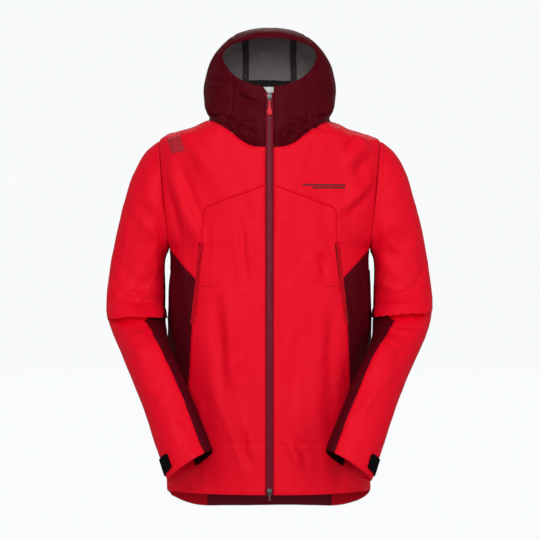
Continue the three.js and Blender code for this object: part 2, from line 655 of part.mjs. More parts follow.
function sliderShape() {
  const half = sliderHalf;
  const web = webThick / 2;
  const profile = [
    [-half, -plateOut], [half, -plateOut], [half, -plateIn], [web, -plateIn],
    [web, plateIn], [half, plateIn], [half, plateOut], [-half, plateOut],
    [-half, plateIn], [-web, plateIn], [-web, -plateIn], [-half, -plateIn],
  ];
  const outline = new THREE.Shape(profile.map(([x, y]) => new THREE.Vector2(x, y)));
  const plates = new THREE.ExtrudeGeometry(outline, { depth: sliderLength, bevelEnabled: false });
  const post = (z) => bar(-bridgeHalf, bridgeHalf, -plateOut - bridgeRise, -plateOut + 0.5, z, z + 1.4);
  const over = bar(-bridgeHalf, bridgeHalf, -plateOut - bridgeRise, -plateOut - bridgeRise + 1.2, 1.2, 8.8);
  return solid(plates).add(solid(post(1.2))).add(solid(post(7.4))).add(solid(over));
}

// The bail is a ring of flat wire; its upper bar lies under the slider's bridge.
const bailY = -plateOut - bridgeRise / 2 + 0.5;
const bailThick = 1.1;
function bailShape(half, length) {
  const outer = new THREE.Shape([
    new THREE.Vector2(-half, 0.6), new THREE.Vector2(-half, -length + 1.5),
    new THREE.Vector2(-half + 1.5, -length), new THREE.Vector2(half - 1.5, -length),
    new THREE.Vector2(half, -length + 1.5), new THREE.Vector2(half, 0.6),
  ]);
  const wire = 1.1;
  outer.holes.push(new THREE.Path([
    new THREE.Vector2(-half + wire, -0.5), new THREE.Vector2(half - wire, -0.5),
    new THREE.Vector2(half - wire, -length + wire), new THREE.Vector2(-half + wire, -length + wire),
  ]));
  const geometry = new THREE.ExtrudeGeometry(outer, { depth: bailThick, bevelEnabled: false });
  geometry.rotateX(Math.PI / 2);
  geometry.translate(0, bailThick / 2, 0);
  return geometry;
}

// The moulded pull is a drop, clasping the bail's lower bar in a slot through its head.
function pullShape(length, half, neck, bailLength) {
  const top = 2.6;
  const drop = new THREE.Shape();
  drop.moveTo(-neck, top);
  drop.lineTo(neck, top);
  drop.lineTo(neck, -length * 0.35);
  drop.quadraticCurveTo(half, -length * 0.6, half, -length * 0.8);
  drop.quadraticCurveTo(half, -length, 0, -length);
  drop.quadraticCurveTo(-half, -length, -half, -length * 0.8);
  drop.quadraticCurveTo(-half, -length * 0.6, -neck, -length * 0.35);
  drop.closePath();
  const thick = 2.8;
  const geometry = new THREE.ExtrudeGeometry(drop, { depth: thick, bevelEnabled: false, curveSegments: 5 });
  geometry.rotateX(Math.PI / 2);
  geometry.translate(0, thick / 2, -bailLength);
  const slotHalfDeep = bailThick / 2 + runGap;
  const slotLow = -bailLength - runGap;
  const hole = bar(-20, 20, -slotHalfDeep, slotHalfDeep, slotLow, slotLow + bailThick + 2 * runGap);
  return geometryOf(solid(geometry).subtract(solid(hole)));
}

function slider(name, z, bailLength, pullLength, pullHalf, look, parent = zip) {
  const group = new THREE.Group();
  group.position.z = z;
  parent.add(group);
  place(name, geometryOf(sliderShape()), gunmetal, group);
  const swing = new THREE.Group();
  swing.position.set(0, bailY, sliderLength / 2);
  group.add(swing);
  place(`${name}_bail`, bailShape(3.1, bailLength), gunmetal, swing);
  place(`${name}_pull`, pullShape(pullLength, pullHalf, 1.5, bailLength), look, swing);
}

const topSliderZ = zipTop - stopLength - sliderLength - 1;
const lowSliderZ = 1;
slider('top_slider', topSliderZ, 9, 27, 5, pullRed);
slider('low_slider', lowSliderZ, 8.6, 9, 2.6, burgundy);

// ---- the pocket zips: one coil strip with a slit, and a slider that runs in it

const pocketSlit = 1.0;
const pocketThick = 1.4;
const pocketInset = 1.1;
function pocketStrip() {
  const half = pocketZipHalf;
  const tall = pocketZipLength / 2;
  const strip = bar(-half, half, -pocketThick / 2, pocketThick / 2, -tall, tall);
  const slit = bar(-pocketSlit / 2, pocketSlit / 2, -5, 5, -tall + 5, tall - 5);
  return solid(strip).subtract(solid(slit));
}

const pocketSliderLength = 8;
const pocketSliderZ = pocketZipLength / 2 - 6 - pocketSliderLength;
function pocketSlider() {
  const near = pocketThick / 2 + runGap;
  const deep = near + 1.2;
  const top = pocketSliderZ + pocketSliderLength;
  const front = bar(-2.6, 2.6, -deep, -near, pocketSliderZ, top);
  const rear = bar(-2.6, 2.6, near, deep, pocketSliderZ, top);
  const web = bar(-webThick / 2, webThick / 2, -near - 0.2, near + 0.2, pocketSliderZ, top);
  const tab = bar(-1.6, 1.6, -deep - 0.8, -deep + 0.2, pocketSliderZ - 22, top - 2);
  return solid(front).add(solid(rear)).add(solid(web)).add(solid(tab));
}

const pocketSeat = pocketFrame.clone().multiply(new THREE.Matrix4().makeTranslation(0, pocketInset, 0));
placePair('pocket_zip', geometryOf(pocketStrip()).applyMatrix4(pocketSeat), red);
placePair('pocket_slider', geometryOf(pocketSlider()).applyMatrix4(pocketSeat), red);

// ---- the neck loop

const loopOutline = [
  [-loopHalf, -loopDrop], [-loopHalf, loopThick], [loopHalf, loopThick], [loopHalf, -loopDrop],
  [loopHalf - loopThick, -loopDrop], [loopHalf - loopThick, 0],
  [-loopHalf + loopThick, 0], [-loopHalf + loopThick, -loopDrop],
];
const loopPrism = frontPrism(loopOutline, -loopTape / 2, loopTape / 2);
place('hang_loop', geometryOf(loopPrism).translate(0, -jacket.position.y, loopZ), burgundy);

export default jacket;
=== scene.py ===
import math

import bmesh
import bpy
import numpy as np
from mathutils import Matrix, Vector, kdtree


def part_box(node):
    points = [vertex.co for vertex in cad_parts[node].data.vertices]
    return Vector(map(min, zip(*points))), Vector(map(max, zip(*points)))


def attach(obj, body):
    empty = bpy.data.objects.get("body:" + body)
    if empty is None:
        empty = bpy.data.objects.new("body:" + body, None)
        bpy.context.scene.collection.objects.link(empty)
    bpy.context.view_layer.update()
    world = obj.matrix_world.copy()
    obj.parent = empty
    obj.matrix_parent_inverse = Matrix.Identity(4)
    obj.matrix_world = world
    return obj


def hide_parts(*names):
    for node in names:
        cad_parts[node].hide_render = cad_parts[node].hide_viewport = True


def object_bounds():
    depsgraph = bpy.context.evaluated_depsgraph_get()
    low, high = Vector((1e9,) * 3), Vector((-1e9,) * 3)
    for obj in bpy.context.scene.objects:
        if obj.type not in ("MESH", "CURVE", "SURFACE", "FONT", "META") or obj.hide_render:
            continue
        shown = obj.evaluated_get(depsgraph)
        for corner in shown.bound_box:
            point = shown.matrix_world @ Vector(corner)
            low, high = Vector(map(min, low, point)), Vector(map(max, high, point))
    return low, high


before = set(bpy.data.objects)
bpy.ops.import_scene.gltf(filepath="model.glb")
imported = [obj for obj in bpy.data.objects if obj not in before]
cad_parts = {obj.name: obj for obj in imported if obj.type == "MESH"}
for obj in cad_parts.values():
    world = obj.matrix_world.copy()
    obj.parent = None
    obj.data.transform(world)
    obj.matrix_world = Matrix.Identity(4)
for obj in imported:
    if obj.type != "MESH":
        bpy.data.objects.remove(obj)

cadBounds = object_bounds()

# The sewing pattern's own axes: x across, y back from the side seams, z up from the hem datum.
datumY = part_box("zip_tape_L")[0].y + 0.1339
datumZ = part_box("zip_tape_L")[0].z - 0.03299
shoulderZ = -datumZ - 0.072            # the neck loop is this far over the shoulder points


def toFrame(points):
    return np.asarray(points, float) + np.array([0.0, datumY, datumZ])


# small numeric helpers

def curveThrough(rows, at):
    # smooth curve through rows of (position, value, ...), read at many positions
    table = np.array(rows, float)
    pos, val = table[:, 0], table[:, 1:]
    at = np.clip(np.asarray(at, float), pos[0], pos[-1])
    i = np.clip(np.searchsorted(pos, at, side="right") - 1, 0, len(pos) - 2)
    lo, hi = np.maximum(np.arange(len(pos)) - 1, 0), np.minimum(np.arange(len(pos)) + 1, len(pos) - 1)
    slope = (val[hi] - val[lo]) / (pos[hi] - pos[lo])[:, None]
    span = (pos[i + 1] - pos[i])
    s = ((at - pos[i]) / span)[:, None]
    start = val[i] * (1 + 2 * s) * (1 - s) ** 2 + val[i + 1] * s * s * (3 - 2 * s)
    return start + (slope[i] * s * (1 - s) ** 2 - slope[i + 1] * s * s * (1 - s)) * span[:, None]


def smoothStep(low, high, x):
    s = np.clip((x - low) / (high - low), 0, 1)
    return s * s * (3 - 2 * s)


def waves(points, size, seed, stretch=(1, 1, 1), count=14):
    # smooth unit noise: a seeded sum of waves about one size long
    rng = np.random.default_rng(seed)
    way = rng.normal(size=(count, 3))
    way /= np.linalg.norm(way, axis=1)[:, None]
    freq = way * (2 * math.pi / size) * rng.uniform(0.6, 1.5, count)[:, None] / np.array(stretch)
    phase = rng.uniform(0, 2 * math.pi, count)
    return np.sin(points @ freq.T + phase).sum(1) / math.sqrt(count / 2)


def lineDistance(points, line):
    # signed distance to an open line of 2-D points, and how far along it
    best = np.full(len(points), 1e9)
    sign = np.zeros(len(points))
    along = np.zeros(len(points))
    line = np.array(line, float)
    lengths = np.linalg.norm(np.diff(line, axis=0), axis=1)
    total = lengths.sum()
    run = 0.0
    for a, b, length in zip(line[:-1], line[1:], lengths):
        if length < 1e-6:
            continue
        way = (b - a) / length
        off = points - a
        t = np.clip(off @ way, 0, length)
        gap = off - t[:, None] * way
        dist = np.linalg.norm(gap, axis=1)
        near = dist < best
        best = np.where(near, dist, best)
        cross = way[0] * off[:, 1] - way[1] * off[:, 0]
        sign = np.where(near, np.sign(cross), sign)
        along = np.where(near, (run + t) / total, along)
        run += length
    return best * sign, along


def outlineField(points, outline):
    # signed distance to a closed outline, more than 0 inside
    corners = np.array(outline, float)
    best = np.full(len(points), 1e9)
    inside = np.zeros(len(points), bool)
    for a, b in zip(corners, np.roll(corners, -1, axis=0)):
        way = b - a
        if way @ way < 1e-12:
            continue
        off = points - a
        t = np.clip(off @ way / (way @ way), 0, 1)
        best = np.minimum(best, np.linalg.norm(off - t[:, None] * way, axis=1))
        crosses = (a[1] > points[:, 1]) != (b[1] > points[:, 1])
        with np.errstate(divide="ignore", invalid="ignore"):
            at = a[0] + (points[:, 1] - a[1]) * way[0] / way[1]
        inside ^= crosses & (points[:, 0] < at)
    return np.where(inside, best, -best)


def roundedLine(points, step=0.004, radius=0.02):
    # walks a line of corners and rounds each one off
    line = np.array(points, float)
    walked = [line[0]]
    for a, b in zip(line[:-1], line[1:]):
        count = max(1, int(np.linalg.norm(b - a) / step))
        walked += [a + (b - a) * (k + 1) / count for k in range(count)]
    walked = np.array(walked)
    reach = max(1, int(radius / step))
    padded = np.vstack([np.repeat(walked[:1], reach, 0), walked, np.repeat(walked[-1:], reach, 0)])
    kernel = np.ones(2 * reach + 1) / (2 * reach + 1)
    soft = np.stack([np.convolve(padded[:, c], kernel, "valid") for c in (0, 1)], 1)
    soft[0], soft[-1] = line[0], line[-1]
    return [tuple(p) for p in soft[:: max(1, reach // 3)]] + [tuple(soft[-1])]


# cutting meshes: points, extra values that go with them, and triangles

def splitAlong(mesh, field):
    # cuts every triangle that the field's zero line crosses; u is the fourth extra value
    points, extra, faces = mesh
    f = np.where(np.abs(field) < 1e-6, 1e-6, field)
    side = f > 0
    pairs = np.stack([faces, np.roll(faces, -1, axis=1)], 2)
    crossing = side[pairs[..., 0]] != side[pairs[..., 1]]
    if not crossing.any():
        return mesh
    low, high = pairs.min(2), pairs.max(2)
    keys = low.astype(np.int64) * len(points) + high
    unique, inverse = np.unique(keys[crossing], return_inverse=True)
    a, b = unique // len(points), unique % len(points)
    t = (f[a] / (f[a] - f[b]))[:, None]
    other = extra[b].copy()
    other[:, 3] += np.round(extra[a, 3] - other[:, 3])
    newPoints = points[a] * (1 - t) + points[b] * t
    newExtra = extra[a] * (1 - t) + other * t
    middle = np.full(crossing.shape, -1, np.int64)
    middle[crossing] = inverse.ravel() + len(points)
    cut = crossing.any(1)
    kept = faces[~cut]
    work, mids, sides = faces[cut], middle[cut], side[faces[cut]]
    lone = np.where(sides.sum(1) == 1, sides.argmax(1), (~sides).argmax(1))
    rows = np.arange(len(work))
    v0, v1, v2 = (work[rows, (lone + k) % 3] for k in range(3))
    m01, m20 = mids[rows, lone], mids[rows, (lone + 2) % 3]
    made = np.concatenate([np.stack([v0, m01, m20], 1), np.stack([m01, v1, v2], 1),
                           np.stack([m01, v2, m20], 1)])
    return np.vstack([points, newPoints]), np.vstack([extra, newExtra]), np.vstack([kept, made])


def onlyFaces(mesh, mask):
    points, extra, faces = mesh
    faces = faces[mask]
    used, inverse = np.unique(faces, return_inverse=True)
    return points[used], extra[used], inverse.reshape(-1, 3)


def edgeDistance(mesh, ignore=None):
    # distance of each point from the cut piece's own edge
    points, _, faces = mesh
    pairs = np.sort(np.vstack([faces[:, [0, 1]], faces[:, [1, 2]], faces[:, [2, 0]]]), 1)
    unique, counts = np.unique(pairs, axis=0, return_counts=True)
    rim = unique[counts == 1]
    if ignore is not None:
        rim = rim[~ignore(points[rim].mean(1))]
    tree = kdtree.KDTree(3 * len(rim))
    for k, (a, b) in enumerate(rim):
        for n, s in enumerate((0.0, 0.33, 0.67)):
            tree.insert(points[a] * (1 - s) + points[b] * s, 3 * k + n)
    tree.balance()
    return np.array([tree.find(p)[2] for p in points])


# shader node groups

def group(name, inputs, outputs):
    tree = bpy.data.node_groups.new(name, "ShaderNodeTree")
    for socketName, kind, value in inputs:
        socket = tree.interface.new_socket(socketName, in_out="INPUT", socket_type=kind)
        socket.default_value = value
    for socketName, kind in outputs:
        tree.interface.new_socket(socketName, in_out="OUTPUT", socket_type=kind)
    return tree, tree.nodes.new("NodeGroupInput"), tree.nodes.new("NodeGroupOutput")


def node(tree, kind, links=(), **values):
    made = tree.nodes.new(kind)
    for name, value in values.items():
        setattr(made, name, value)
    for socket, source in links:
        if isinstance(source, bpy.types.NodeSocket):
            tree.links.new(source, made.inputs[socket])
        else:
            made.inputs[socket].default_value = source
    return made


def maths(tree, operation, a, b=0.0, c=0.0):
    return node(tree, "ShaderNodeMath", [(0, a), (1, b), (2, c)], operation=operation).outputs[0]


def blendColour(tree, amount, a, b, mode="MIX"):
    made = node(tree, "ShaderNodeMix", data_type="RGBA", blend_type=mode)
    for index, source in ((0, amount), (6, a), (7, b)):
        if isinstance(source, bpy.types.NodeSocket):
            tree.links.new(source, made.inputs[index])
        else:
            made.inputs[index].default_value = source
    return made.outputs[2]


def makeWeave():
    # plain weave: warp and weft ribs that pass over each other, on the cloth's own map
    tree, given, result = group("plainWeave", [
        ("Thread", "NodeSocketFloat", 0.0006), ("Ripstop", "NodeSocketFloat", 0.0),
                                               ("Rub", "NodeSocketFloat", 0.3),
    ], [("Height", "NodeSocketFloat"), ("Mottle", "NodeSocketFloat"), ("Crumple", "NodeSocketFloat")])
    cloth = node(tree, "ShaderNodeUVMap", uv_map="cloth").outputs[0]
    parts = node(tree, "ShaderNodeSeparateXYZ", [(0, cloth)])
    across = maths(tree, "DIVIDE", parts.outputs[0], given.outputs["Thread"])
    along = maths(tree, "DIVIDE", parts.outputs[1], given.outputs["Thread"])
    warp = maths(tree, "SINE", maths(tree, "MULTIPLY", across, math.pi))
    weft = maths(tree, "SINE", maths(tree, "MULTIPLY", along, math.pi))
    checker = maths(tree, "MULTIPLY", warp, weft)
    square = maths(tree, "ABSOLUTE", checker)
    gridX = maths(tree, "LESS_THAN", maths(tree, "FRACT", maths(tree, "MULTIPLY", across, 0.09)), 0.12)
    gridY = maths(tree, "LESS_THAN", maths(tree, "FRACT", maths(tree, "MULTIPLY", along, 0.09)), 0.12)
    ripstop = maths(tree, "MULTIPLY", maths(tree, "MAXIMUM", gridX, gridY), given.outputs["Ripstop"])
    noise = node(tree, "ShaderNodeTexNoise", [("Scale", 900.0), ("Detail", 2.0)])
    place = node(tree, "ShaderNodeTexCoord").outputs["Object"]
    tree.links.new(place, noise.inputs["Vector"])
    height = maths(tree, "ADD", maths(tree, "ADD", square, ripstop),
                   maths(tree, "MULTIPLY", noise.outputs[0], 0.6))
    large = node(tree, "ShaderNodeTexNoise", [("Vector", place), ("Scale", 9.0), ("Detail", 4.0)])
    spread = maths(tree, "MULTIPLY", maths(tree, "SUBTRACT", large.outputs[0], 0.5), given.outputs["Rub"])
    ridge = node(tree, "ShaderNodeTexNoise",
                 [("Vector", place), ("Scale", 15.0), ("Detail", 2.0), ("Distortion", 0.6)])
    side = maths(tree, "ABSOLUTE", maths(tree, "MULTIPLY_ADD", ridge.outputs[0], 5.0, -2.5))
    crumple = maths(tree, "POWER", maths(tree, "SUBTRACT", 1.0, maths(tree, "MINIMUM", side, 1.0)), 1.6)
    tree.links.new(height, result.inputs["Height"])
    tree.links.new(spread, result.inputs["Mottle"])
    tree.links.new(crumple, result.inputs["Crumple"])
    return tree


def makeSeamLines():
    # lines that follow a panel's edge: the folded edge itself and a row of stitches beside it
    tree, given, result = group("seamLines", [
        ("Stitch Offset", "NodeSocketFloat", 0.004), ("Stitch Depth", "NodeSocketFloat", 0.6),
        ("Edge Width", "NodeSocketFloat", 0.0012),
    ], [("Height", "NodeSocketFloat"), ("Edge", "NodeSocketFloat"), ("Stitch", "NodeSocketFloat")])
    rim = node(tree, "ShaderNodeAttribute", attribute_name="rim").outputs["Fac"]
    edge = maths(tree, "SUBTRACT", 1.0,
                 maths(tree, "MINIMUM", maths(tree, "DIVIDE", rim, given.outputs["Edge Width"]), 1.0))
    offset = maths(tree, "ABSOLUTE", maths(tree, "SUBTRACT", rim, given.outputs["Stitch Offset"]))
    line = maths(tree, "SUBTRACT", 1.0, maths(tree, "MINIMUM", maths(tree, "DIVIDE", offset, 0.0007), 1.0))
    cloth = node(tree, "ShaderNodeUVMap", uv_map="cloth").outputs[0]
    parts = node(tree, "ShaderNodeSeparateXYZ", [(0, cloth)])
    run = maths(tree, "ADD", parts.outputs[0], parts.outputs[1])
    gaps = maths(tree, "GREATER_THAN",
                 maths(tree, "SINE", maths(tree, "MULTIPLY", run, 2 * math.pi / 0.0032)), -0.5)
    stitch = maths(tree, "MULTIPLY", maths(tree, "MULTIPLY", line, gaps), given.outputs["Stitch Depth"])
    height = maths(tree, "MULTIPLY", maths(tree, "ADD", edge, stitch), -1.0)
    tree.links.new(height, result.inputs["Height"])
    tree.links.new(edge, result.inputs["Edge"])
    tree.links.new(stitch, result.inputs["Stitch"])
    return tree


weaveGroup = makeWeave()
seamGroup = makeSeamLines()


def newMaterial(name):
    made = bpy.data.materials.new(name)
    made.use_nodes = True
    tree = made.node_tree
    return made, tree, tree.nodes["Principled BSDF"]


def clothMaterial(name, look):
    made, tree, shader = newMaterial(name)
    weave = node(tree, "ShaderNodeGroup", node_tree=weaveGroup)
    weave.inputs["Thread"].default_value = look["thread"]
    weave.inputs["Ripstop"].default_value = look.get("ripstop", 0.0)
    weave.inputs["Rub"].default_value = look.get("rub", 0.3)
    seams = node(tree, "ShaderNodeGroup", node_tree=seamGroup)
    seams.inputs["Stitch Depth"].default_value = look.get("stitch", 0.5)
    colour, deep = (*look["colour"], 1), (*look["deep"], 1)
    pale = (*look["pale"], 1)
    shade = maths(tree, "ADD", weave.outputs["Mottle"], 0.5)
    varied = blendColour(tree, shade, deep, pale)
    base = blendColour(tree, look.get("vary", 0.35), colour, varied)
    lines = maths(tree, "MULTIPLY", maths(tree, "MAXIMUM", seams.outputs["Edge"], seams.outputs["Stitch"]),
                  look.get("seam", 0.34))
    tree.links.new(blendColour(tree, lines, base, deep), shader.inputs["Base Color"])
    height = maths(tree, "ADD",
                   maths(tree, "MULTIPLY", weave.outputs["Height"], look.get("weaveHeight", 0.16)),
                   seams.outputs["Height"])
    height = maths(tree, "MULTIPLY_ADD", weave.outputs["Crumple"], look.get("crumple", 0.0), height)
    bump = node(tree, "ShaderNodeBump",
                [("Strength", look.get("bump", 0.35)), ("Distance", 0.0006), ("Height", height)])
    tree.links.new(bump.outputs[0], shader.inputs["Normal"])
    rough = maths(tree, "ADD", maths(tree, "MULTIPLY", weave.outputs["Mottle"], 0.25), look["rough"])
    tree.links.new(rough, shader.inputs["Roughness"])
    shader.inputs["Sheen Weight"].default_value = look.get("sheen", 0.1)
    shader.inputs["Sheen Roughness"].default_value = 0.45
    shader.inputs["Specular IOR Level"].default_value = look.get("specular", 0.35)
    return made


clothLooks = {
    "redShell": dict(colour=(0.80, 0.0015, 0.016), deep=(0.60, 0.0008, 0.010), pale=(0.92, 0.003, 0.024),
                     rough=0.55,
                     thread=0.0007, sheen=0.0, specular=0.08, crumple=2.6),
    "burgundyShell": dict(colour=(0.080, 0.0016, 0.0055), deep=(0.044, 0.0008, 0.003),
                          pale=(0.116, 0.003, 0.009), rough=0.5,
                          thread=0.0007, sheen=0.0, specular=0.03, crumple=2.5),
    "greyLining": dict(colour=(0.37, 0.32, 0.32), deep=(0.24, 0.21, 0.21), pale=(0.50, 0.44, 0.44),
                       rough=0.85, vary=0.8,
                       thread=0.0009, ripstop=0.8, weaveHeight=0.4, sheen=0.1, specular=0.2, stitch=0.0,
                       crumple=9.0),
    # painted shade: a near-black sheet inside the hood's back, below the neck, standing in for the shadow at
    # the bottom of the hood opening
    "neckPaintedShade": dict(colour=(0.030, 0.027, 0.027), deep=(0.016, 0.014, 0.014), pale=(0.05, 0.045, 0.045),
                       rough=0.85,
                       thread=0.0009, weaveHeight=0.4, sheen=0.0, specular=0.1, stitch=0.0),
    # burgundy turn-up, painted much lighter than the burgundy shell: painted light where the front hem shades
    # the inside of the back hem
    "turnUpPaintedLight": dict(colour=(0.19, 0.010, 0.022), deep=(0.12, 0.005, 0.012), pale=(0.25, 0.016, 0.03),
                   rough=0.6,
                   thread=0.0007, sheen=0.0, specular=0.05),
    "redLining": dict(colour=(0.32, 0.006, 0.016), deep=(0.18, 0.003, 0.008), pale=(0.4, 0.01, 0.02),
                      rough=0.8,
                      thread=0.0009, sheen=0.0, specular=0.05, stitch=0.0),
    "seamTape": dict(colour=(0.066, 0.058, 0.056), deep=(0.040, 0.035, 0.034), pale=(0.10, 0.09, 0.09),
                     rough=0.6,
                     thread=0.0005, sheen=0.0, specular=0.3, stitch=0.0, crumple=6.0),
    "chinFleece": dict(colour=(0.60, 0.60, 0.57), deep=(0.42, 0.42, 0.40), pale=(0.70, 0.70, 0.67),
                       rough=0.95,
                       thread=0.0011, weaveHeight=0.7, bump=0.7, sheen=0.6, specular=0.1, stitch=0.4),
    "zipTape": dict(colour=(0.20, 0.006, 0.020), deep=(0.11, 0.003, 0.010), pale=(0.28, 0.012, 0.030),
                    rough=0.6,
                    thread=0.0008, weaveHeight=0.5, bump=0.6, sheen=0.0, specular=0.05, stitch=0.0),
    # the cuff's burgundy inside, darkened far below the burgundy shell: painted shade for the shadow inside
    # the cuff
    "cuffInsidePaintedShade": dict(colour=(0.024, 0.0008, 0.002), deep=(0.012, 0.0004, 0.001),
                       pale=(0.036, 0.0012, 0.003), rough=0.7,
                       thread=0.0007, sheen=0.0, specular=0.03, stitch=0.0),
    "loopTape": dict(colour=(0.085, 0.003, 0.008), deep=(0.035, 0.001, 0.003), pale=(0.13, 0.008, 0.014),
                     rough=0.6,
                     thread=0.0008, weaveHeight=0.5, bump=0.6, sheen=0.0, specular=0.05, stitch=0.0),
    "blackLoop": dict(colour=(0.0032, 0.0024, 0.0024), deep=(0.0015, 0.001, 0.001),
                      pale=(0.007, 0.0055, 0.0055), rough=0.9,
                      thread=0.0012, weaveHeight=0.9, bump=0.9, sheen=0.0, specular=0.06, stitch=0.5),
    "pocketMesh": dict(colour=(0.05, 0.045, 0.045), deep=(0.02, 0.018, 0.018), pale=(0.08, 0.07, 0.07),
                       rough=0.85,
                       thread=0.0016, weaveHeight=0.9, bump=0.9, sheen=0.1, specular=0.2, stitch=0.0),
    "reflective": dict(colour=(0.44, 0.010, 0.022), deep=(0.32, 0.006, 0.014), pale=(0.52, 0.02, 0.035),
                       rough=0.35,
                       thread=0.0010, weaveHeight=0.3, sheen=0.0, specular=0.25, stitch=0.0),
    "markPrint": dict(colour=(0.18, 0.010, 0.018), deep=(0.10, 0.004, 0.008), pale=(0.25, 0.02, 0.03),
                      rough=0.5,
                      thread=0.0007, sheen=0.0, specular=0.3, stitch=0.0),
}
cloth = {name: clothMaterial(name, look) for name, look in clothLooks.items()}


def hardMaterial(name, look):
    made, tree, shader = newMaterial(name)
    place = node(tree, "ShaderNodeTexCoord").outputs["Object"]
    grain = node(tree, "ShaderNodeTexNoise", [("Vector", place), ("Scale", look["grain"]), ("Detail", 4.0)])
    patch = node(tree, "ShaderNodeTexNoise",
                 [("Vector", place), ("Scale", look["grain"] * 0.12), ("Detail", 2.0)])
    colour = blendColour(tree, patch.outputs[0], (*look["deep"], 1), (*look["pale"], 1))
    tree.links.new(colour, shader.inputs["Base Color"])
    rough = maths(tree, "ADD", maths(tree, "MULTIPLY", grain.outputs[0], 0.2), look["rough"] - 0.1)
    tree.links.new(rough, shader.inputs["Roughness"])
    bump = node(tree, "ShaderNodeBump",
                [("Strength", 0.25), ("Distance", 0.0002), ("Height", grain.outputs[0])])
    tree.links.new(bump.outputs[0], shader.inputs["Normal"])
    shader.inputs["Metallic"].default_value = look["metal"]
    shader.inputs["Specular IOR Level"].default_value = look.get("specular", 0.5)
    return made


hardLooks = {
    "gunmetal": dict(deep=(0.05, 0.055, 0.055), pale=(0.16, 0.165, 0.16), rough=0.32, metal=0.85,
                     grain=2500.0),
    "pullRubber": dict(deep=(0.60, 0.003, 0.010), pale=(0.72, 0.006, 0.018), rough=0.42, metal=0.0,
                       grain=3500.0, specular=0.22),
    "darkRubber": dict(deep=(0.07, 0.008, 0.012), pale=(0.11, 0.013, 0.02), rough=0.5, metal=0.0,
                       grain=3500.0),
    "zipTeeth": dict(deep=(0.15, 0.005, 0.020), pale=(0.36, 0.030, 0.060), rough=0.2, metal=0.0, grain=2500.0,
                     specular=0.14),
    "coilZip": dict(deep=(0.50, 0.001, 0.009), pale=(0.66, 0.002, 0.014), rough=0.6, metal=0.0, grain=3000.0,
                    specular=0.08),
}
hard = {name: hardMaterial(name, look) for name, look in hardLooks.items()}
print("materials made")


# camera, lights and floor

view = dict(distance=4.0, height=0.468, widthAtSide=1.08, sensor=36.0)


def makeCamera():
    data = bpy.data.cameras.new("camera")
    data.sensor_width = view["sensor"]
    data.lens = view["sensor"] * view["distance"] / view["widthAtSide"]
    data.clip_end = 50
    camera = bpy.data.objects.new("camera", data)
    camera.location = toFrame((0.001, -view["distance"], view["height"]))
    camera.rotation_euler = (math.radians(90), 0, 0)
    bpy.context.scene.collection.objects.link(camera)
    bpy.context.scene.camera = camera


def makeLight(name, spot, aim, size, power, colour=(1, 1, 1)):
    data = bpy.data.lights.new(name, "AREA")
    data.shape = "RECTANGLE"
    data.size, data.size_y = size
    data.energy = power
    data.color = colour
    light = bpy.data.objects.new(name, data)
    light.location = toFrame(spot)
    light.rotation_mode = "QUATERNION"
    light.rotation_quaternion = (Vector(toFrame(aim)) - light.location).to_track_quat("-Z", "Y")
    bpy.context.scene.collection.objects.link(light)


studio = dict(floorDrop=0.45, paper=(0.939, 0.956, 0.966), bounce=0.36, key=52.0, front=28.0, left=12.0,
              right=21.0, top=4.0, back=32.0)


def paperTree(tree, emission, strengthSocket, colourSocket):
    # the paper looks evenly white, but throws back less light than that onto the cloth
    path = node(tree, "ShaderNodeLightPath")
    shown = maths(tree, "MULTIPLY_ADD", path.outputs["Is Camera Ray"], 1.0 - studio["bounce"],
                  studio["bounce"])
    tree.links.new(shown, emission.inputs[strengthSocket])
    emission.inputs[colourSocket].default_value = (*studio["paper"], 1)


def makeStudio():
    made, tree, shader = newMaterial("paleFloor")
    shader.inputs["Base Color"].default_value = (0.02, 0.02, 0.02, 1)
    shader.inputs["Roughness"].default_value = 1.0
    shader.inputs["Specular IOR Level"].default_value = 0.0
    paperTree(tree, shader, "Emission Strength", "Emission Color")
    low = cadBounds[0].z - studio["floorDrop"]
    mesh = bmesh.new()
    rim = [mesh.verts.new((14 * math.cos(a), 14 * math.sin(a), low)) for a in np.linspace(0, 2 * math.pi, 64,
                                                                                          False)]
    mesh.faces.new(rim)
    data = bpy.data.meshes.new("floor")
    mesh.to_mesh(data)
    floor = bpy.data.objects.new("floor", data)
    data.materials.append(made)
    bpy.context.scene.collection.objects.link(floor)
    world = bpy.data.worlds.new("studioLight")
    world.use_nodes = True
    paperTree(world.node_tree, world.node_tree.nodes["Background"], 1, 0)
    bpy.context.scene.world = world
    bpy.context.scene.view_settings.view_transform = "Standard"
    makeLight("key", (-0.3, -3.4, 2.1), (0, 0, 0.5), (2.2, 1.6), studio["key"])
    makeLight("front", (0.0, -3.8, 0.95), (0, 0, 0.8), (1.6, 1.0), studio["front"])
    makeLight("left", (-2.6, -2.2, 0.8), (0, 0, 0.45), (1.2, 2.0), studio["left"])
    makeLight("right", (2.6, -2.2, 0.9), (0, 0, 0.45), (1.2, 2.0), studio["right"])
    makeLight("back", (0.0, 3.2, 3.3), (0, 0, 0.4), (2.6, 1.4), studio["back"])
    makeLight("top", (0.0, 0.6, 2.6), (0, 0, 0.7), (2.0, 1.2), studio["top"])


makeCamera()
makeStudio()
print("camera and studio made")


# pieces

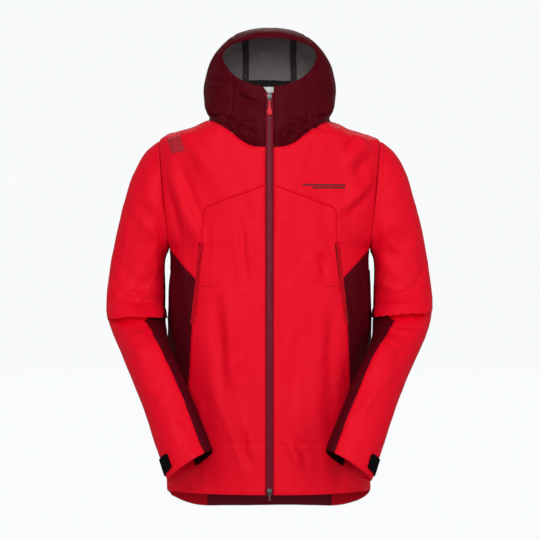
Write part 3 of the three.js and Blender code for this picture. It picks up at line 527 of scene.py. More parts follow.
def newPiece(name, mesh, body, materials, replaced=(), rim=None, clothScale=(1, 1)):
    points, extra, faces = mesh
    data = bpy.data.meshes.new(name)
    data.from_pydata(toFrame(points).tolist(), [], faces.tolist())
    for material in materials:
        data.materials.append(material)
    if rim is not None:
        attribute = data.attributes.new("rim", "FLOAT", "POINT")
        attribute.data.foreach_set("value", np.asarray(rim, np.float32))
    layer = data.uv_layers.new(name="cloth")
    corner = np.zeros(len(data.loops), int)
    data.loops.foreach_get("vertex_index", corner)
    uv = extra[corner, 3:5].reshape(-1, 3, 2).copy()
    uv[:, :, 0] -= np.round(uv[:, :, 0] - uv[:, :1, 0])
    uv *= np.array(clothScale)
    layer.data.foreach_set("uv", uv.astype(np.float32).ravel())
    data.shade_smooth()
    made = bpy.data.objects.new(name, data)
    bpy.context.scene.collection.objects.link(made)
    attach(made, body)
    if replaced:
        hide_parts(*replaced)
    return made


def thicken(piece, thickness=0.0009, offset=-1, inner=1):
    solid = piece.modifiers.new("thickness", "SOLIDIFY")
    solid.thickness = thickness
    solid.offset = offset
    solid.material_offset = inner if len(piece.data.materials) > 1 else 0
    solid.use_even_offset = False


# the body and hood skin

bodyCut = dict(chestHalf=0.2005, hemHalf=0.199, armhole=0.220, spread=0.0205, bulge=0.032, neckHalf=0.121,
               neckRise=0.040, hoodHalf=0.133, hoodRise=0.222, hoodBack=0.130, chinRise=0.098, roundness=2.3)
chestHalf, neckHalf, hoodHalf = bodyCut["chestHalf"], bodyCut["neckHalf"], bodyCut["hoodHalf"]
shoulderHalf = chestHalf + bodyCut["spread"]
underarmZ = shoulderZ - bodyCut["armhole"]
neckZ = shoulderZ + bodyCut["neckRise"]
crownZ = shoulderZ + bodyCut["hoodRise"]
skinLow, skinHigh = -0.022, crownZ - 0.0004      # the top stays open, just under the crown
chinZ = shoulderZ + bodyCut["chinRise"]
hemFrontZ, hemSideZ, hemTailZ = 0.033, 0.026, -0.016
zipDepthLow, zipDepthHigh = 0.134, 0.113
zipSlope = (zipDepthLow - zipDepthHigh) / (chinZ - hemFrontZ)

bodySections = [                       # height, half width, back depth
    (-0.060, 0.199, 0.128), (0.150, 0.200, 0.129), (0.330, chestHalf + 0.001, 0.130),
    (underarmZ - 0.080, chestHalf + 0.001, 0.130), (underarmZ - 0.001, chestHalf - 0.001, 0.131),
    (underarmZ + 0.024, chestHalf + 0.016, 0.131), (underarmZ + 0.060, chestHalf + 0.0272, 0.130),
    (underarmZ + 0.115, chestHalf + 0.032, 0.126), (shoulderZ - 0.046, shoulderHalf + 0.012, 0.118),
    (shoulderZ - 0.018, shoulderHalf + 0.006, 0.112), (shoulderZ + 0.001, shoulderHalf - 0.004, 0.106),
    (shoulderZ + 0.014, shoulderHalf - 0.036, 0.101), (shoulderZ + 0.027, neckHalf + 0.028, 0.097),
    (neckZ, neckHalf, 0.094), (neckZ + 0.013, neckHalf + 0.003, 0.094),
                (neckZ + 0.028, hoodHalf - 0.004, 0.097),
    (shoulderZ + 0.097, hoodHalf, 0.112), (shoulderZ + 0.122, hoodHalf - 0.003, 0.123),
    (crownZ - 0.068, hoodHalf - 0.013, 0.130), (crownZ - 0.039, hoodHalf - 0.033, 0.122),
    (crownZ - 0.021, hoodHalf - 0.054, 0.100), (crownZ - 0.008, hoodHalf - 0.082, 0.068),
                (crownZ, 0.004, 0.012),
]
browSections = [                       # height, front depth, over the chin
    (chinZ, zipDepthHigh), (chinZ + 0.040, zipDepthHigh + 0.001), (crownZ - 0.042, zipDepthHigh + 0.004),
    (crownZ - 0.024, zipDepthHigh + 0.001), (crownZ - 0.014, zipDepthHigh - 0.012),
    (crownZ - 0.006, zipDepthHigh - 0.042), (crownZ, 0.015),
]


def sectionAt(z):
    half, back = curveThrough(bodySections, z).T
    straight = zipDepthLow - (z - hemFrontZ) * zipSlope
    front = np.where(z < chinZ, straight, curveThrough(browSections, z)[:, 0])
    return half, front, back


def skinPoint(turn, z):
    half, front, back = sectionAt(z)
    power = 2 / bodyCut["roundness"]
    side = np.sign(np.sin(turn)) * np.abs(np.sin(turn)) ** power
    depth = -np.sign(np.cos(turn)) * np.abs(np.cos(turn)) ** power
    return np.stack([half * side, depth * np.where(depth < 0, front, back), z], 1)


def skinNormal(turn, z):
    around = skinPoint(turn + 0.02, z) - skinPoint(turn - 0.02, z)
    up = skinPoint(turn, z + 0.0015) - skinPoint(turn, z - 0.0015)
    normal = np.cross(around, up)
    return normal / np.maximum(np.linalg.norm(normal, axis=1), 1e-12)[:, None]


def levelRows(step, low, high):
    # heights a steady step apart along the skin, so slopes get as many rows as walls
    z = np.linspace(low, high, 4000)
    lines = [skinPoint(np.full_like(z, turn), z) for turn in (0.0, math.pi / 2, math.pi)]
    travel = np.max([np.linalg.norm(np.diff(p, axis=0), axis=1) for p in lines], axis=0)
    path = np.concatenate([[0], np.cumsum(travel)])
    at = np.linspace(0, path[-1], max(3, int(path[-1] / step)))
    return np.interp(at, path, z), at


def skinGrid(step, low, high, columns, turns=(0.0, 2 * math.pi)):
    z, path = levelRows(step, low, high)
    whole = abs(turns[1] - turns[0] - 2 * math.pi) < 1e-6
    share = np.arange(columns + (0 if whole else 1)) / columns
    turn = turns[0] + (turns[1] - turns[0]) * share
    turnGrid, heightGrid = np.meshgrid(turn, z)
    _, pathGrid = np.meshgrid(turn, path)
    turnGrid, heightGrid, pathGrid = turnGrid.ravel(), heightGrid.ravel(), pathGrid.ravel()
    points, normals = skinPoint(turnGrid, heightGrid), skinNormal(turnGrid, heightGrid)
    extra = np.column_stack([normals, turnGrid / (2 * math.pi), pathGrid])
    wide = len(turn)
    j, i = np.meshgrid(np.arange(len(z) - 1), np.arange(columns), indexing="ij")
    a = j * wide + i
    b = j * wide + (i + 1) % wide if whole else a + 1
    flip = ((i + j) % 2 == 0)[..., None]
    one = np.where(flip, np.stack([a, b, b + wide], 2), np.stack([a, b, a + wide], 2))
    two = np.where(flip, np.stack([a, b + wide, a + wide], 2), np.stack([b, b + wide, a + wide], 2))
    return points, extra, np.concatenate([one.reshape(-1, 3), two.reshape(-1, 3)])


# Seam lines in the front view, for the wearer's left.
far = 0.6
pocketTopZ = shoulderZ - 0.208
pocketLowZ = pocketTopZ - 0.158
pocketTopX, pocketLowX = chestHalf - 0.067, chestHalf - 0.0495
tipZ = pocketTopZ - 0.073
tipX = pocketTopX + (pocketLowX - pocketTopX) * 0.073 / 0.158
sideSeam = roundedLine([(chestHalf + 0.03, underarmZ + 0.034), (tipX, tipZ)], radius=0.004) + roundedLine([
    (tipX, tipZ), (pocketLowX, pocketLowZ), (chestHalf - 0.042, 0.250), (chestHalf - 0.034, 0.170),
    (chestHalf - 0.018, 0.105), (chestHalf + 0.020, 0.060)], radius=0.03)[1:]
yokeSeam = roundedLine([
    (-0.002, shoulderZ - 0.092), (0.016, shoulderZ - 0.099), (0.078, shoulderZ - 0.121),
    (pocketTopX - 0.003, shoulderZ - 0.140), (pocketTopX - 0.002, pocketTopZ + 0.012),
                        (pocketTopX, pocketTopZ - 0.002),
    (tipX, tipZ)], radius=0.014)
neckSeam = roundedLine([
    (0.0, shoulderZ - 0.0215), (0.030, shoulderZ - 0.020), (0.050, shoulderZ - 0.012),
                        (0.078, shoulderZ + 0.012),
    (neckHalf - 0.004, neckZ - 0.003), (far, neckZ + 0.002)], radius=0.010)
faceHole = []
for k in range(64):
    turn = 2 * math.pi * k / 64
    up = math.sin(turn)
    lift = 0.032 * up ** 0.8 if up > 0 else -0.061 * (-up) ** 1.25
    faceHole.append((0.093 * math.copysign(abs(math.cos(turn)) ** 0.85, math.cos(turn)),
                     crownZ - 0.063 + lift))


def frontView(points):
    return np.stack([np.abs(points[:, 0]), points[:, 2]], 1)


def sideView(points):
    return points[:, 1:3]


zipHalf = 0.0076                       # the panels stop here, beside the zip's teeth and tape
seamY = 0.012                          # the shoulder seam


def bodyFields(p):
    # each field is 0 on its seam; the side that belongs to the named part is more than 0
    front, side = frontView(p), sideView(p)
    x, y, z = p.T
    fields = {}
    sleeve = front[:, 0] - (chestHalf - 0.0005 + (z - underarmZ) * bodyCut["spread"] / bodyCut["armhole"])
    fields["sleeve"] = np.where(z > underarmZ - 0.006, sleeve, -0.05)
    hem = curveThrough([(-0.3, hemFrontZ), (-0.10, hemFrontZ - 0.001), (0, hemSideZ),
                        (0.07, hemTailZ + 0.014),
                        (0.11, hemTailZ), (0.3, hemTailZ)], y)[:, 0]
    fields["underHem"] = hem - z
    notch = np.clip((z - (chinZ - 0.023)) / 0.023, 0, 1)
    slot = zipHalf - np.abs(x + 0.003 * notch) + 0.004 * notch
    fields["slot"] = np.where((y < -0.03) & (z < chinZ + 0.01), slot, -0.05)
    fields["face"] = np.where(y < -0.025, outlineField(np.stack([x, z], 1), faceHole), -0.05)
    neckFront = outlineField(front,
                             neckSeam + [(far, crownZ + 0.1), (-far, crownZ + 0.1),
                                         (-far, shoulderZ - 0.0215)])
    neckBack = z - np.interp(y, [0.0, 0.07, 0.2], [neckZ + 0.002, neckZ + 0.016, neckZ + 0.018])
    fields["hood"] = np.where(y < 0, neckFront, neckBack)
    fields["side"] = outlineField(front, sideSeam + [(far, 0.060), (far, underarmZ + 0.034)])
    fields["yoke"] = outlineField(front, yokeSeam + [(far, tipZ), (far, 2 * far), (-0.002, 2 * far)])
    fields["back"] = y - seamY
    fields["backYoke"] = z - (shoulderZ - 0.150) - 0.02 * (x / chestHalf) ** 2
    brimSide = outlineField(side, [(-0.3, crownZ - 0.084), (-0.082, crownZ - 0.084), (-0.066, crownZ - 0.040),
                                   (-0.060, crownZ + 0.02), (-0.3, crownZ + 0.02)])
    fields["brim"] = brimSide
    fields["collar"] = np.where(y < 0, 0.072 - front[:, 0], -0.05)
    fields["hoodCentre"] = 0.050 - front[:, 0]
    fields["pocket"] = pocketField(p)
    return fields


def bodyLabels(f, x):
    gone = (f["sleeve"] > 0) & (f["hood"] < 0) | (f["underHem"] > 0) | (f["slot"] > 0) | (f["face"] > 0) \
        | (f["pocket"] > 0)
    hood = f["hood"] > 0
    label = np.full(len(x), "back_panel", dtype=object)
    label[(f["back"] > 0) & (f["backYoke"] > 0)] = "back_yoke"
    frontPart = f["back"] < 0
    label[frontPart] = "front_panel"
    label[frontPart & (f["yoke"] > 0)] = "chest_yoke"
    label[f["side"] > 0] = "side_panel"
    label[hood] = "hood_side"
    label[hood & (f["hoodCentre"] > 0)] = "hood_centre"
    label[hood & (f["collar"] > 0)] = "collar"
    label[hood & (f["brim"] > 0)] = "hood_brim"
    label[gone] = ""
    paired = np.isin(label, ["front_panel", "chest_yoke", "side_panel", "hood_side", "collar"])
    label[paired] = label[paired] + np.where(x[paired] > 0, "_L", "_R")
    return label


def fitsWith(name, f):
    # which stretches of a seam really divide panels; elsewhere the field is not cut
    hood = f["hood"] > 0
    body = ~hood
    return {
        "sleeve": body, "underHem": body, "slot": np.ones_like(hood), "face": hood,
            "hood": np.ones_like(hood),
        "side": body, "yoke": body & (f["back"] < 0.01) & (f["side"] < 0.01),
            "back": body & (f["side"] < 0.01),
        "backYoke": body & (f["back"] > -0.01) & (f["side"] < 0.01), "brim": hood,
        "collar": hood & (f["brim"] < 0.01), "hoodCentre": hood & (f["brim"] < 0.01) & (f["collar"] < 0.01),
        "pocket": body,
    }[name]


# Folds in the body, drawn in the front view: x and height of each end, then how far they
# stand out and how wide they are. Less than 0 is a crease.
bodyFolds = [
    dict(line=[(0.205, 0.648), (0.170, 0.612), (0.138, 0.582)], out=0.0050, wide=0.013),
    dict(line=[(0.206, 0.634), (0.180, 0.602), (0.150, 0.575)], out=-0.0030, wide=0.009),
    dict(line=[(0.196, 0.716), (0.172, 0.700), (0.152, 0.672)], out=0.0045, wide=0.011),
    dict(line=[(0.184, 0.722), (0.160, 0.716), (0.146, 0.700)], out=-0.0035, wide=0.008),
    dict(line=[(0.208, 0.690), (0.186, 0.676), (0.166, 0.650)], out=-0.0035, wide=0.010),
    dict(line=[(-0.192, 0.668), (-0.170, 0.600), (-0.140, 0.526)], out=0.0050, wide=0.014),
    dict(line=[(-0.176, 0.672), (-0.150, 0.606), (-0.122, 0.540)], out=-0.0035, wide=0.010),
    dict(line=[(-0.204, 0.640), (-0.186, 0.570), (-0.170, 0.520)], out=-0.0035, wide=0.009),
    dict(line=[(-0.160, 0.716), (-0.136, 0.690), (-0.124, 0.650)], out=0.0030, wide=0.012),
    dict(line=[(-0.054, 0.560), (-0.050, 0.500), (-0.045, 0.440)], out=-0.0034, wide=0.008),
    dict(line=[(-0.040, 0.566), (-0.036, 0.500), (-0.032, 0.450)], out=0.0026, wide=0.010),
    dict(line=[(0.094, 0.506), (0.104, 0.480), (0.110, 0.452)], out=-0.0040, wide=0.008),
    dict(line=[(0.080, 0.500), (0.088, 0.474), (0.090, 0.440)], out=0.0034, wide=0.010),
    dict(line=[(-0.104, 0.430), (-0.096, 0.320), (-0.090, 0.214)], out=-0.0034, wide=0.012),
    dict(line=[(-0.082, 0.420), (-0.076, 0.320), (-0.068, 0.230)], out=0.0034, wide=0.014),
    dict(line=[(0.100, 0.400), (0.092, 0.300), (0.098, 0.200)], out=0.0030, wide=0.014),
    dict(line=[(0.122, 0.390), (0.116, 0.300), (0.122, 0.210)], out=-0.0030, wide=0.011),
    dict(line=[(0.050, 0.360), (0.054, 0.280), (0.046, 0.200)], out=-0.0022, wide=0.013),
    dict(line=[(-0.050, 0.176), (-0.034, 0.132), (-0.018, 0.086)], out=0.0030, wide=0.009),
    dict(line=[(-0.040, 0.160), (-0.052, 0.120), (-0.040, 0.084)], out=-0.0026, wide=0.007),
    dict(line=[(0.030, 0.144), (0.046, 0.116), (0.058, 0.078)], out=0.0030, wide=0.008),
    dict(line=[(0.046, 0.150), (0.066, 0.112), (0.074, 0.082)], out=-0.0026, wide=0.007),
    dict(line=[(-0.096, 0.132), (0.0, 0.129), (0.116, 0.130)], out=-0.0010, wide=0.003),
    dict(line=[(-0.172, 0.050), (-0.164, 0.042), (-0.152, 0.036)], out=-0.0040, wide=0.004),
    dict(line=[(-0.180, 0.120), (-0.160, 0.090), (-0.130, 0.076)], out=0.0024, wide=0.010),
    dict(line=[(0.180, 0.110), (0.156, 0.086), (0.130, 0.070)], out=-0.0024, wide=0.009),
    dict(line=[(-0.126, 0.846), (-0.104, 0.840), (-0.082, 0.838)], out=-0.0040, wide=0.005),
    dict(line=[(-0.124, 0.836), (-0.104, 0.830), (-0.080, 0.830)], out=0.0030, wide=0.006),
    dict(line=[(-0.062, 0.808), (-0.040, 0.798), (-0.020, 0.790)], out=-0.0036, wide=0.005),
    dict(line=[(-0.060, 0.820), (-0.042, 0.808), (-0.022, 0.800)], out=0.0030, wide=0.006),
    dict(line=[(-0.040, 0.752), (-0.026, 0.738), (-0.012, 0.724)], out=-0.0036, wide=0.005),
    dict(line=[(-0.022, 0.756), (-0.012, 0.744), (-0.006, 0.730)], out=0.0026, wide=0.005),
    dict(line=[(0.036, 0.748), (0.056, 0.744), (0.078, 0.735)], out=-0.0036, wide=0.005),
    dict(line=[(0.088, 0.753), (0.100, 0.748), (0.112, 0.738)], out=-0.0036, wide=0.005),
    dict(line=[(0.030, 0.760), (0.050, 0.756), (0.074, 0.752)], out=0.0028, wide=0.006),
    dict(line=[(0.070, 0.800), (0.090, 0.786), (0.108, 0.780)], out=0.0026, wide=0.008),
    dict(line=[(-0.100, 0.790), (-0.080, 0.776), (-0.060, 0.776)], out=0.0026, wide=0.008),
]
backFolds = [
    dict(line=[(-0.170, 0.600), (-0.110, 0.560), (-0.050, 0.548)], out=0.0034, wide=0.016),
    dict(line=[(0.176, 0.610), (0.120, 0.566), (0.070, 0.550)], out=0.0034, wide=0.015),
    dict(line=[(-0.150, 0.320), (-0.070, 0.300), (0.010, 0.310)], out=-0.0032, wide=0.015),
    dict(line=[(0.150, 0.330), (0.080, 0.296), (0.020, 0.300)], out=0.0032, wide=0.016),
    dict(line=[(-0.100, 0.260), (-0.094, 0.160), (-0.100, 0.060)], out=0.0034, wide=0.018),
    dict(line=[(0.060, 0.250), (0.066, 0.150), (0.060, 0.050)], out=0.0030, wide=0.018),
    dict(line=[(0.120, 0.240), (0.124, 0.150), (0.118, 0.050)], out=-0.0028, wide=0.014),
    dict(line=[(-0.040, 0.720), (0.0, 0.700), (0.040, 0.720)], out=0.0030, wide=0.012),
    dict(line=[(-0.060, 0.806), (0.0, 0.794), (0.060, 0.806)], out=-0.0034, wide=0.009),
    dict(line=[(-0.070, 0.824), (0.0, 0.812), (0.070, 0.824)], out=0.0030, wide=0.011),
]


def drawnFolds(flat, folds):
    total = np.zeros(len(flat))
    for fold in folds:
        corners = np.array(fold["line"])
        reach = 3 * fold["wide"]
        near = np.all((flat > corners.min(0) - reach) & (flat < corners.max(0) + reach), axis=1)
        if not near.any():
            continue
        gap, along = lineDistance(flat[near], fold["line"])
        taper = np.sin(np.pi * np.clip(along, 0.02, 0.98)) ** 0.6
        total[near] += fold["out"] * taper * np.exp(-(gap / fold["wide"]) ** 2)
    return total


bodyCloth = dict(soft=0.0020, middle=0.0008, crease=0.0016, blouse=0.0074, step=0.0034)


def neckLine(points):
    # height of the neck seam at each point
    x, y = np.abs(points[:, 0]), points[:, 1]
    seam = np.array(neckSeam)
    return np.where(y < 0, np.interp(x, seam[:, 0], seam[:, 1]),
                    np.interp(y, [0.0, 0.07, 0.2], [neckZ + 0.002, neckZ + 0.016, neckZ + 0.018]))


def bodyRise(points):
    # how far the filled-out cloth stands from its smooth form
    x, y, z = points.T
    flat = np.stack([x, z], 1)
    rise = 1.7 * np.where(y < 0, drawnFolds(flat, bodyFolds), drawnFolds(flat, backFolds))
    soft = waves(points, 0.17, 11, (1, 1, 1.8))
    middle = waves(points, 0.055, 12, (1, 1, 1.7))
    crease = 1 - np.abs(waves(points, 0.12, 13, (1, 1, 2.2)))
    rise += bodyCloth["soft"] * soft + bodyCloth["middle"] * middle
    rise += bodyCloth["crease"] * np.clip(crease, -0.4, 1) ** 3
    front = y < 0
    over = z - neckLine(points)
    gathers = 1 + 0.45 * waves(points, 0.034, 15, (1, 1, 3.0)) + 0.3 * waves(points, 0.016, 16, (1, 1, 3.0))
    quiet = smoothStep(0.012, 0.075, np.abs(y))            # the hood's outline stays smooth
    blouse = np.exp(-((over - 0.021) / 0.014) ** 2) * bodyCloth["blouse"]
    blouse *= gathers * quiet + 0.25 * (1 - quiet)
    blouse -= 0.0034 * np.exp(-((over - 0.0005) / 0.005) ** 2) * (0.3 + 0.7 * quiet)
    rise *= 1 - 0.7 * smoothStep(-0.01, 0.02, over) * (1 - quiet)
    rise += np.where((over > -0.02) & (z < crownZ - 0.06), blouse, 0.0)
    hoodPart = smoothStep(0.0, 0.02, over) * quiet
    sharp = 1 - np.abs(waves(points, 0.062, 17, (1.3, 1, 0.8)))
    rise += hoodPart * (0.0026 * np.clip(sharp, 0, 1) ** 5 - 0.0008)
    nearZip = np.where(front & (z < chinZ + 0.03), smoothStep(0.008, 0.034, np.abs(x)), 1.0)
    tilt = chestHalf - 0.0005 + (z - underarmZ) * bodyCut["spread"] / bodyCut["armhole"]
    nearSleeve = np.where((z > underarmZ - 0.04) & (z < shoulderZ + 0.01),
                          smoothStep(0.0, 0.024, np.abs(tilt - np.abs(x))), 1.0)
    mouth = np.where(front, smoothStep(0.0, 0.02, np.abs(outlineField(flat, faceHole))), 1.0)
    calm = 0.12 + 0.88 * smoothStep(0.0, 0.055, crownZ - z)
    return rise * nearZip * nearSleeve * (0.35 + 0.65 * mouth) * calm


def seamDip(rim, deep=0.0009, wide=0.0032):
    return -deep * np.exp(-(rim / wide) ** 2) + 0.0004 * np.exp(-((rim - 0.006) / 0.003) ** 2)


def lifted(mesh, amount):
    points, extra, faces = mesh
    return points + extra[:, :3] * np.asarray(amount).reshape(-1, 1), extra, faces


# pocket zip frame: x across, y inward, z up along the zip

def skinSpot(x, z):
    half, _, _ = sectionAt(np.array([z]))
    turn = math.asin(min(1.0, (x / half[0]) ** (bodyCut["roundness"] / 2)))
    return skinPoint(np.array([turn]), np.array([z]))[0], skinNormal(np.array([turn]), np.array([z]))[0]


def pocketAxes():
    top, low = skinSpot(pocketTopX, pocketTopZ)[0], skinSpot(pocketLowX, pocketLowZ)[0]
    middle = (top + low) / 2
    up = (top - low) / np.linalg.norm(top - low)
    outward = skinSpot(middle[0], middle[2])[1]
    across = np.cross(up, outward)
    across /= np.linalg.norm(across)
    return middle, across, np.cross(up, across), up


pocketMiddle, pocketAcross, pocketIn, pocketUp = pocketAxes()
pocketZip = dict(half=0.004, length=0.158, inset=0.0006)


def pocketField(p):
    # more than 0 inside the slot for either pocket's zip
    off = p * np.where(p[:, :1] > 0, 1, -1) ** np.array([1, 0, 0]) - pocketMiddle
    gap = np.minimum(pocketZip["half"] + 0.0003 - np.abs(off @ pocketAcross),
                     pocketZip["length"] / 2 + 0.0003 - np.abs(off @ pocketUp))
    return np.where(p[:, 1] < 0, gap, -0.05)


# body and hood panels

panelMaterials = {
    "front_panel": ("redShell", "greyLining"), "chest_yoke": ("redShell", "greyLining"),
    "side_panel": ("burgundyShell", "greyLining"), "back_yoke": ("redShell", "greyLining"),
    "back_panel": ("redShell", "greyLining"), "collar": ("burgundyShell", "greyLining"),
    "hood_side": ("burgundyShell", "greyLining"), "hood_centre": ("burgundyShell", "greyLining"),
    "hood_brim": ("burgundyShell", "greyLining"),
}


# top of the painted neck shade inside the hood
neckShadeTop = shoulderZ + 0.132


def paint(piece, mask, index):
    piece.data.polygons.foreach_set("material_index", np.where(mask, index, 0).astype(np.int32))


def makeBody():
    columns = int(1.16 / bodyCloth["step"])
    mesh = skinGrid(bodyCloth["step"], skinLow, skinHigh, columns)
    points, extra, faces = mesh
    fields = bodyFields(points)
    names = list(fields)
    mesh = points, np.column_stack([extra] + [fields[name] for name in names]), faces

    def carried(values):
        return {name: values[..., 5 + n] for n, name in enumerate(names)}

    for name in names:             # the fields ride along with the points, so each is worked out only once
        fields = carried(mesh[1])
        mesh = splitAlong(mesh, np.where(fitsWith(name, fields), fields[name], 0.05))
    middles = mesh[0][mesh[2]].mean(1)
    levels, _ = levelRows(bodyCloth["step"], skinLow, skinHigh)
    neckShadeRow = levels[np.argmin(np.abs(levels - neckShadeTop))]
    label = bodyLabels(carried(mesh[1][mesh[2]].mean(1)), middles[:, 0])
    rise = bodyRise(mesh[0])
    for name in sorted(set(label) - {""}):
        kind = name[:-2] if name[-2:] in ("_L", "_R") else name
        panel = onlyFaces(mesh, label == name)
        rim = edgeDistance(panel)
        used = np.unique(mesh[2][label == name])
        panel = lifted(panel, rise[used] + seamDip(rim))
        panel = panel[0], panel[1][:, :5], panel[2]
        shell, lining = panelMaterials[kind]
        piece = newPiece(name + ".cloth", panel, "jacket",
                         [cloth[shell], cloth[lining], cloth[shell], cloth["neckPaintedShade"]], [name], rim,
                         (1.07, 1))
        if kind.startswith("hood"):
            centres = middles[label == name]
            # the hood's inside at the back, below this height, gets the painted neck shade
            paint(piece, (centres[:, 1] > 0.02) & (centres[:, 2] < neckShadeRow), 2)
        thicken(piece)
    print("body and hood made:", len(mesh[2]), "triangles")


makeBody()


def skinPatch(outline, low, high, turns, lift, step=0.0022):
    # a piece that follows the skin, cut to a front-view outline
    half = sectionAt(np.array([(low + high) / 2]))[0][0]
    columns = max(4, int(abs(turns[1] - turns[0]) * half / step))
    mesh = skinGrid(step, low, high, columns, turns)
    if outline is not None:
        mesh = splitAlong(mesh, outline(mesh[0]))
        mesh = onlyFaces(mesh, outline(mesh[0][mesh[2]].mean(1)) > 0)
    return lifted(mesh, bodyRise(mesh[0]) + lift)


def turnAt(x, z):
    half = sectionAt(np.array([z]))[0][0]
    return math.copysign(math.asin(min(1.0, (abs(x) / half) ** (bodyCut["roundness"] / 2))), x)


def shapeOn(corners):
    return lambda p: outlineField(np.stack([p[:, 0], p[:, 2]], 1), corners)


def makePatch(name, corners, lift, material, replaced, thickness=0.0007, margin=0.004,
              second=None, secondField=None):
    corners = np.array(corners)
    low, high = corners[:, 1].min() - margin, corners[:, 1].max() + margin
    middle = (low + high) / 2
    turns = (turnAt(corners[:, 0].min() - margin, middle) - 0.02,
             turnAt(corners[:, 0].max() + margin, middle) + 0.02)
    mesh = skinPatch(shapeOn(corners), low, high, turns, lift)
    if second:
        mesh = splitAlong(mesh, secondField(mesh[0]))
    rim = edgeDistance(mesh)
    mesh = lifted(mesh, -0.0003 * np.exp(-(rim / 0.001) ** 2))
    materials = [cloth[material]] + ([cloth[second]] if second else [])
    piece = newPiece(name, mesh, "jacket", materials, replaced, rim, (1.07, 1))
    if second:
        paint(piece, secondField(mesh[0][mesh[2]].mean(1)) > 0, 1)
    thicken(piece, thickness, inner=0)
    return piece


pocketTrim = dict(lift=0.0011, thickness=0.0007)
weltCorners = [(pocketTopX - 0.0055, pocketTopZ - 0.003), (pocketTopX - 0.0345, pocketTopZ - 0.0135),
               (pocketTopX - 0.031, pocketTopZ - 0.084), (pocketTopX + 0.0030, pocketTopZ - 0.084)]
bagCorners = [(pocketTopX + 0.014, pocketTopZ - 0.004), (pocketTopX - 0.030, pocketTopZ - 0.002),
              (pocketTopX - 0.104, pocketTopZ - 0.040), (pocketTopX - 0.108, pocketLowZ - 0.040),
              (pocketTopX - 0.060, pocketLowZ - 0.062), (pocketLowX + 0.006, pocketLowZ - 0.040)]
for side, letter in ((1, "L"), (-1, "R")):
    corners = [(side * x, z) for x, z in weltCorners]
    makePatch(f"pocket_welt_{letter}.cloth", corners, pocketTrim["lift"], "redShell",
              [f"pocket_welt_{letter}"], pocketTrim["thickness"])
    corners = [(side * x, z) for x, z in bagCorners]
    makePatch(f"pocket_bag_{letter}.cloth", corners, -0.0046, "pocketMesh",
              [f"pocket_bag_{letter}"], 0.0014)

marks = dict(barTop=shoulderZ - 0.0930, barTall=0.0026, barGap=0.0024, start=0.064, end=0.148)


def makeMarks():
    # two plain thin bars stand for the printed mark
    rows = [(marks["start"], marks["end"]), (marks["start"] + 0.020, marks["end"])]
    for n, (left, right) in enumerate(rows):
        top = marks["barTop"] - n * (marks["barTall"] + marks["barGap"])
        corners = [(left, top - marks["barTall"]), (right, top - marks["barTall"]), (right, top), (left, top)]
        makePatch(f"chest_emblem.bar{n}", corners, 0.0007, "markPrint",
                  ["chest_emblem"] if n == 0 else (),
                  0.0003)
    corners = [(-0.201, shoulderZ - 0.002), (-0.176, shoulderZ + 0.006), (-0.165, shoulderZ - 0.026),
               (-0.192, shoulderZ - 0.032)]
    makePatch("shoulder_patch.film", corners, 0.0008, "reflective", ["shoulder_patch"],
              0.0004)


makeMarks()

guardHalf, guardLow = 0.019, chinZ - 0.054


def guardBinding(p):
    # the binding covers the fleece on the wearer's right of a slanting edge
    share = np.clip((chinZ - p[:, 2]) / 0.024, 0, 1.4)
    return -0.0130 + 0.0165 * share - p[:, 0]


makePatch("chin_guard.cloth", [(-guardHalf, guardLow), (guardHalf, guardLow), (guardHalf, chinZ - 0.0015),
                               (-guardHalf, chinZ - 0.0015)], -0.0052, "chinFleece",
          ["chin_guard"], 0.001,
          second="burgundyShell", secondField=guardBinding)
makePatch("storm_flap.cloth",
          [(-guardHalf, hemFrontZ + 0.004), (guardHalf, hemFrontZ + 0.004), (guardHalf, guardLow),
                               (-guardHalf, guardLow)], -0.0052, "burgundyShell",
          ["storm_flap"], 0.001)


facingHalf = 0.128                     # the turn-up is red beyond this, beside the side seams


def makeFacings():
    def band(p):
        hem = curveThrough([(0, hemSideZ), (0.07, hemTailZ + 0.014), (0.11, hemTailZ), (0.3, hemTailZ)],
                           p[:, 1])[:, 0]
        return np.where(p[:, 1] > 0.0,
                        np.minimum.reduce([p[:, 2] - hem - 0.001, hem + 0.030 - p[:, 2], p[:, 1] - 0.02]),
                        -0.05)

    mesh = skinPatch(band, hemTailZ - 0.004, hemSideZ + 0.034,
                     (0.55 * math.pi / 2 + 0.6, 2 * math.pi - 0.55 * math.pi / 2 - 0.6),
                     -0.0014, 0.004)
    mesh = splitAlong(mesh, np.abs(mesh[0][:, 0]) - facingHalf)
    rim = edgeDistance(mesh)
    # the middle of the turn-up gets the painted-light burgundy; beside the side seams it is the red shell
    piece = newPiece("hem_facing.cloth", mesh, "jacket",
                     [cloth["turnUpPaintedLight"], cloth["redShell"]],
                     ["hem_facing"], rim, (1.07, 1))
    paint(piece, np.abs(mesh[0][mesh[2]].mean(1)[:, 0]) > facingHalf, 1)
    thicken(piece, 0.0008, inner=0)
    for side, letter in ((1, "L"), (-1, "R")):
        def strip(p):
            return np.where((p[:, 1] > -0.058) & (p[:, 2] > neckZ + 0.024),
                            0.0065 - np.abs(side * p[:, 0] - 0.0495), -0.05)

        turns = (0.02, math.pi - 0.02) if side > 0 else (math.pi + 0.02, 2 * math.pi - 0.02)
        mesh = skinPatch(strip, neckZ + 0.020, crownZ - 0.004, turns, -0.0018, 0.003)
        rim = edgeDistance(mesh)
        piece = newPiece(f"seam_tape_{letter}.tape", mesh, "jacket", [cloth["seamTape"]],
                         [f"seam_tape_{letter}"], rim, (1.07, 1))
        thicken(piece, 0.0005)


makeFacings()
print("trims made")


# sleeves

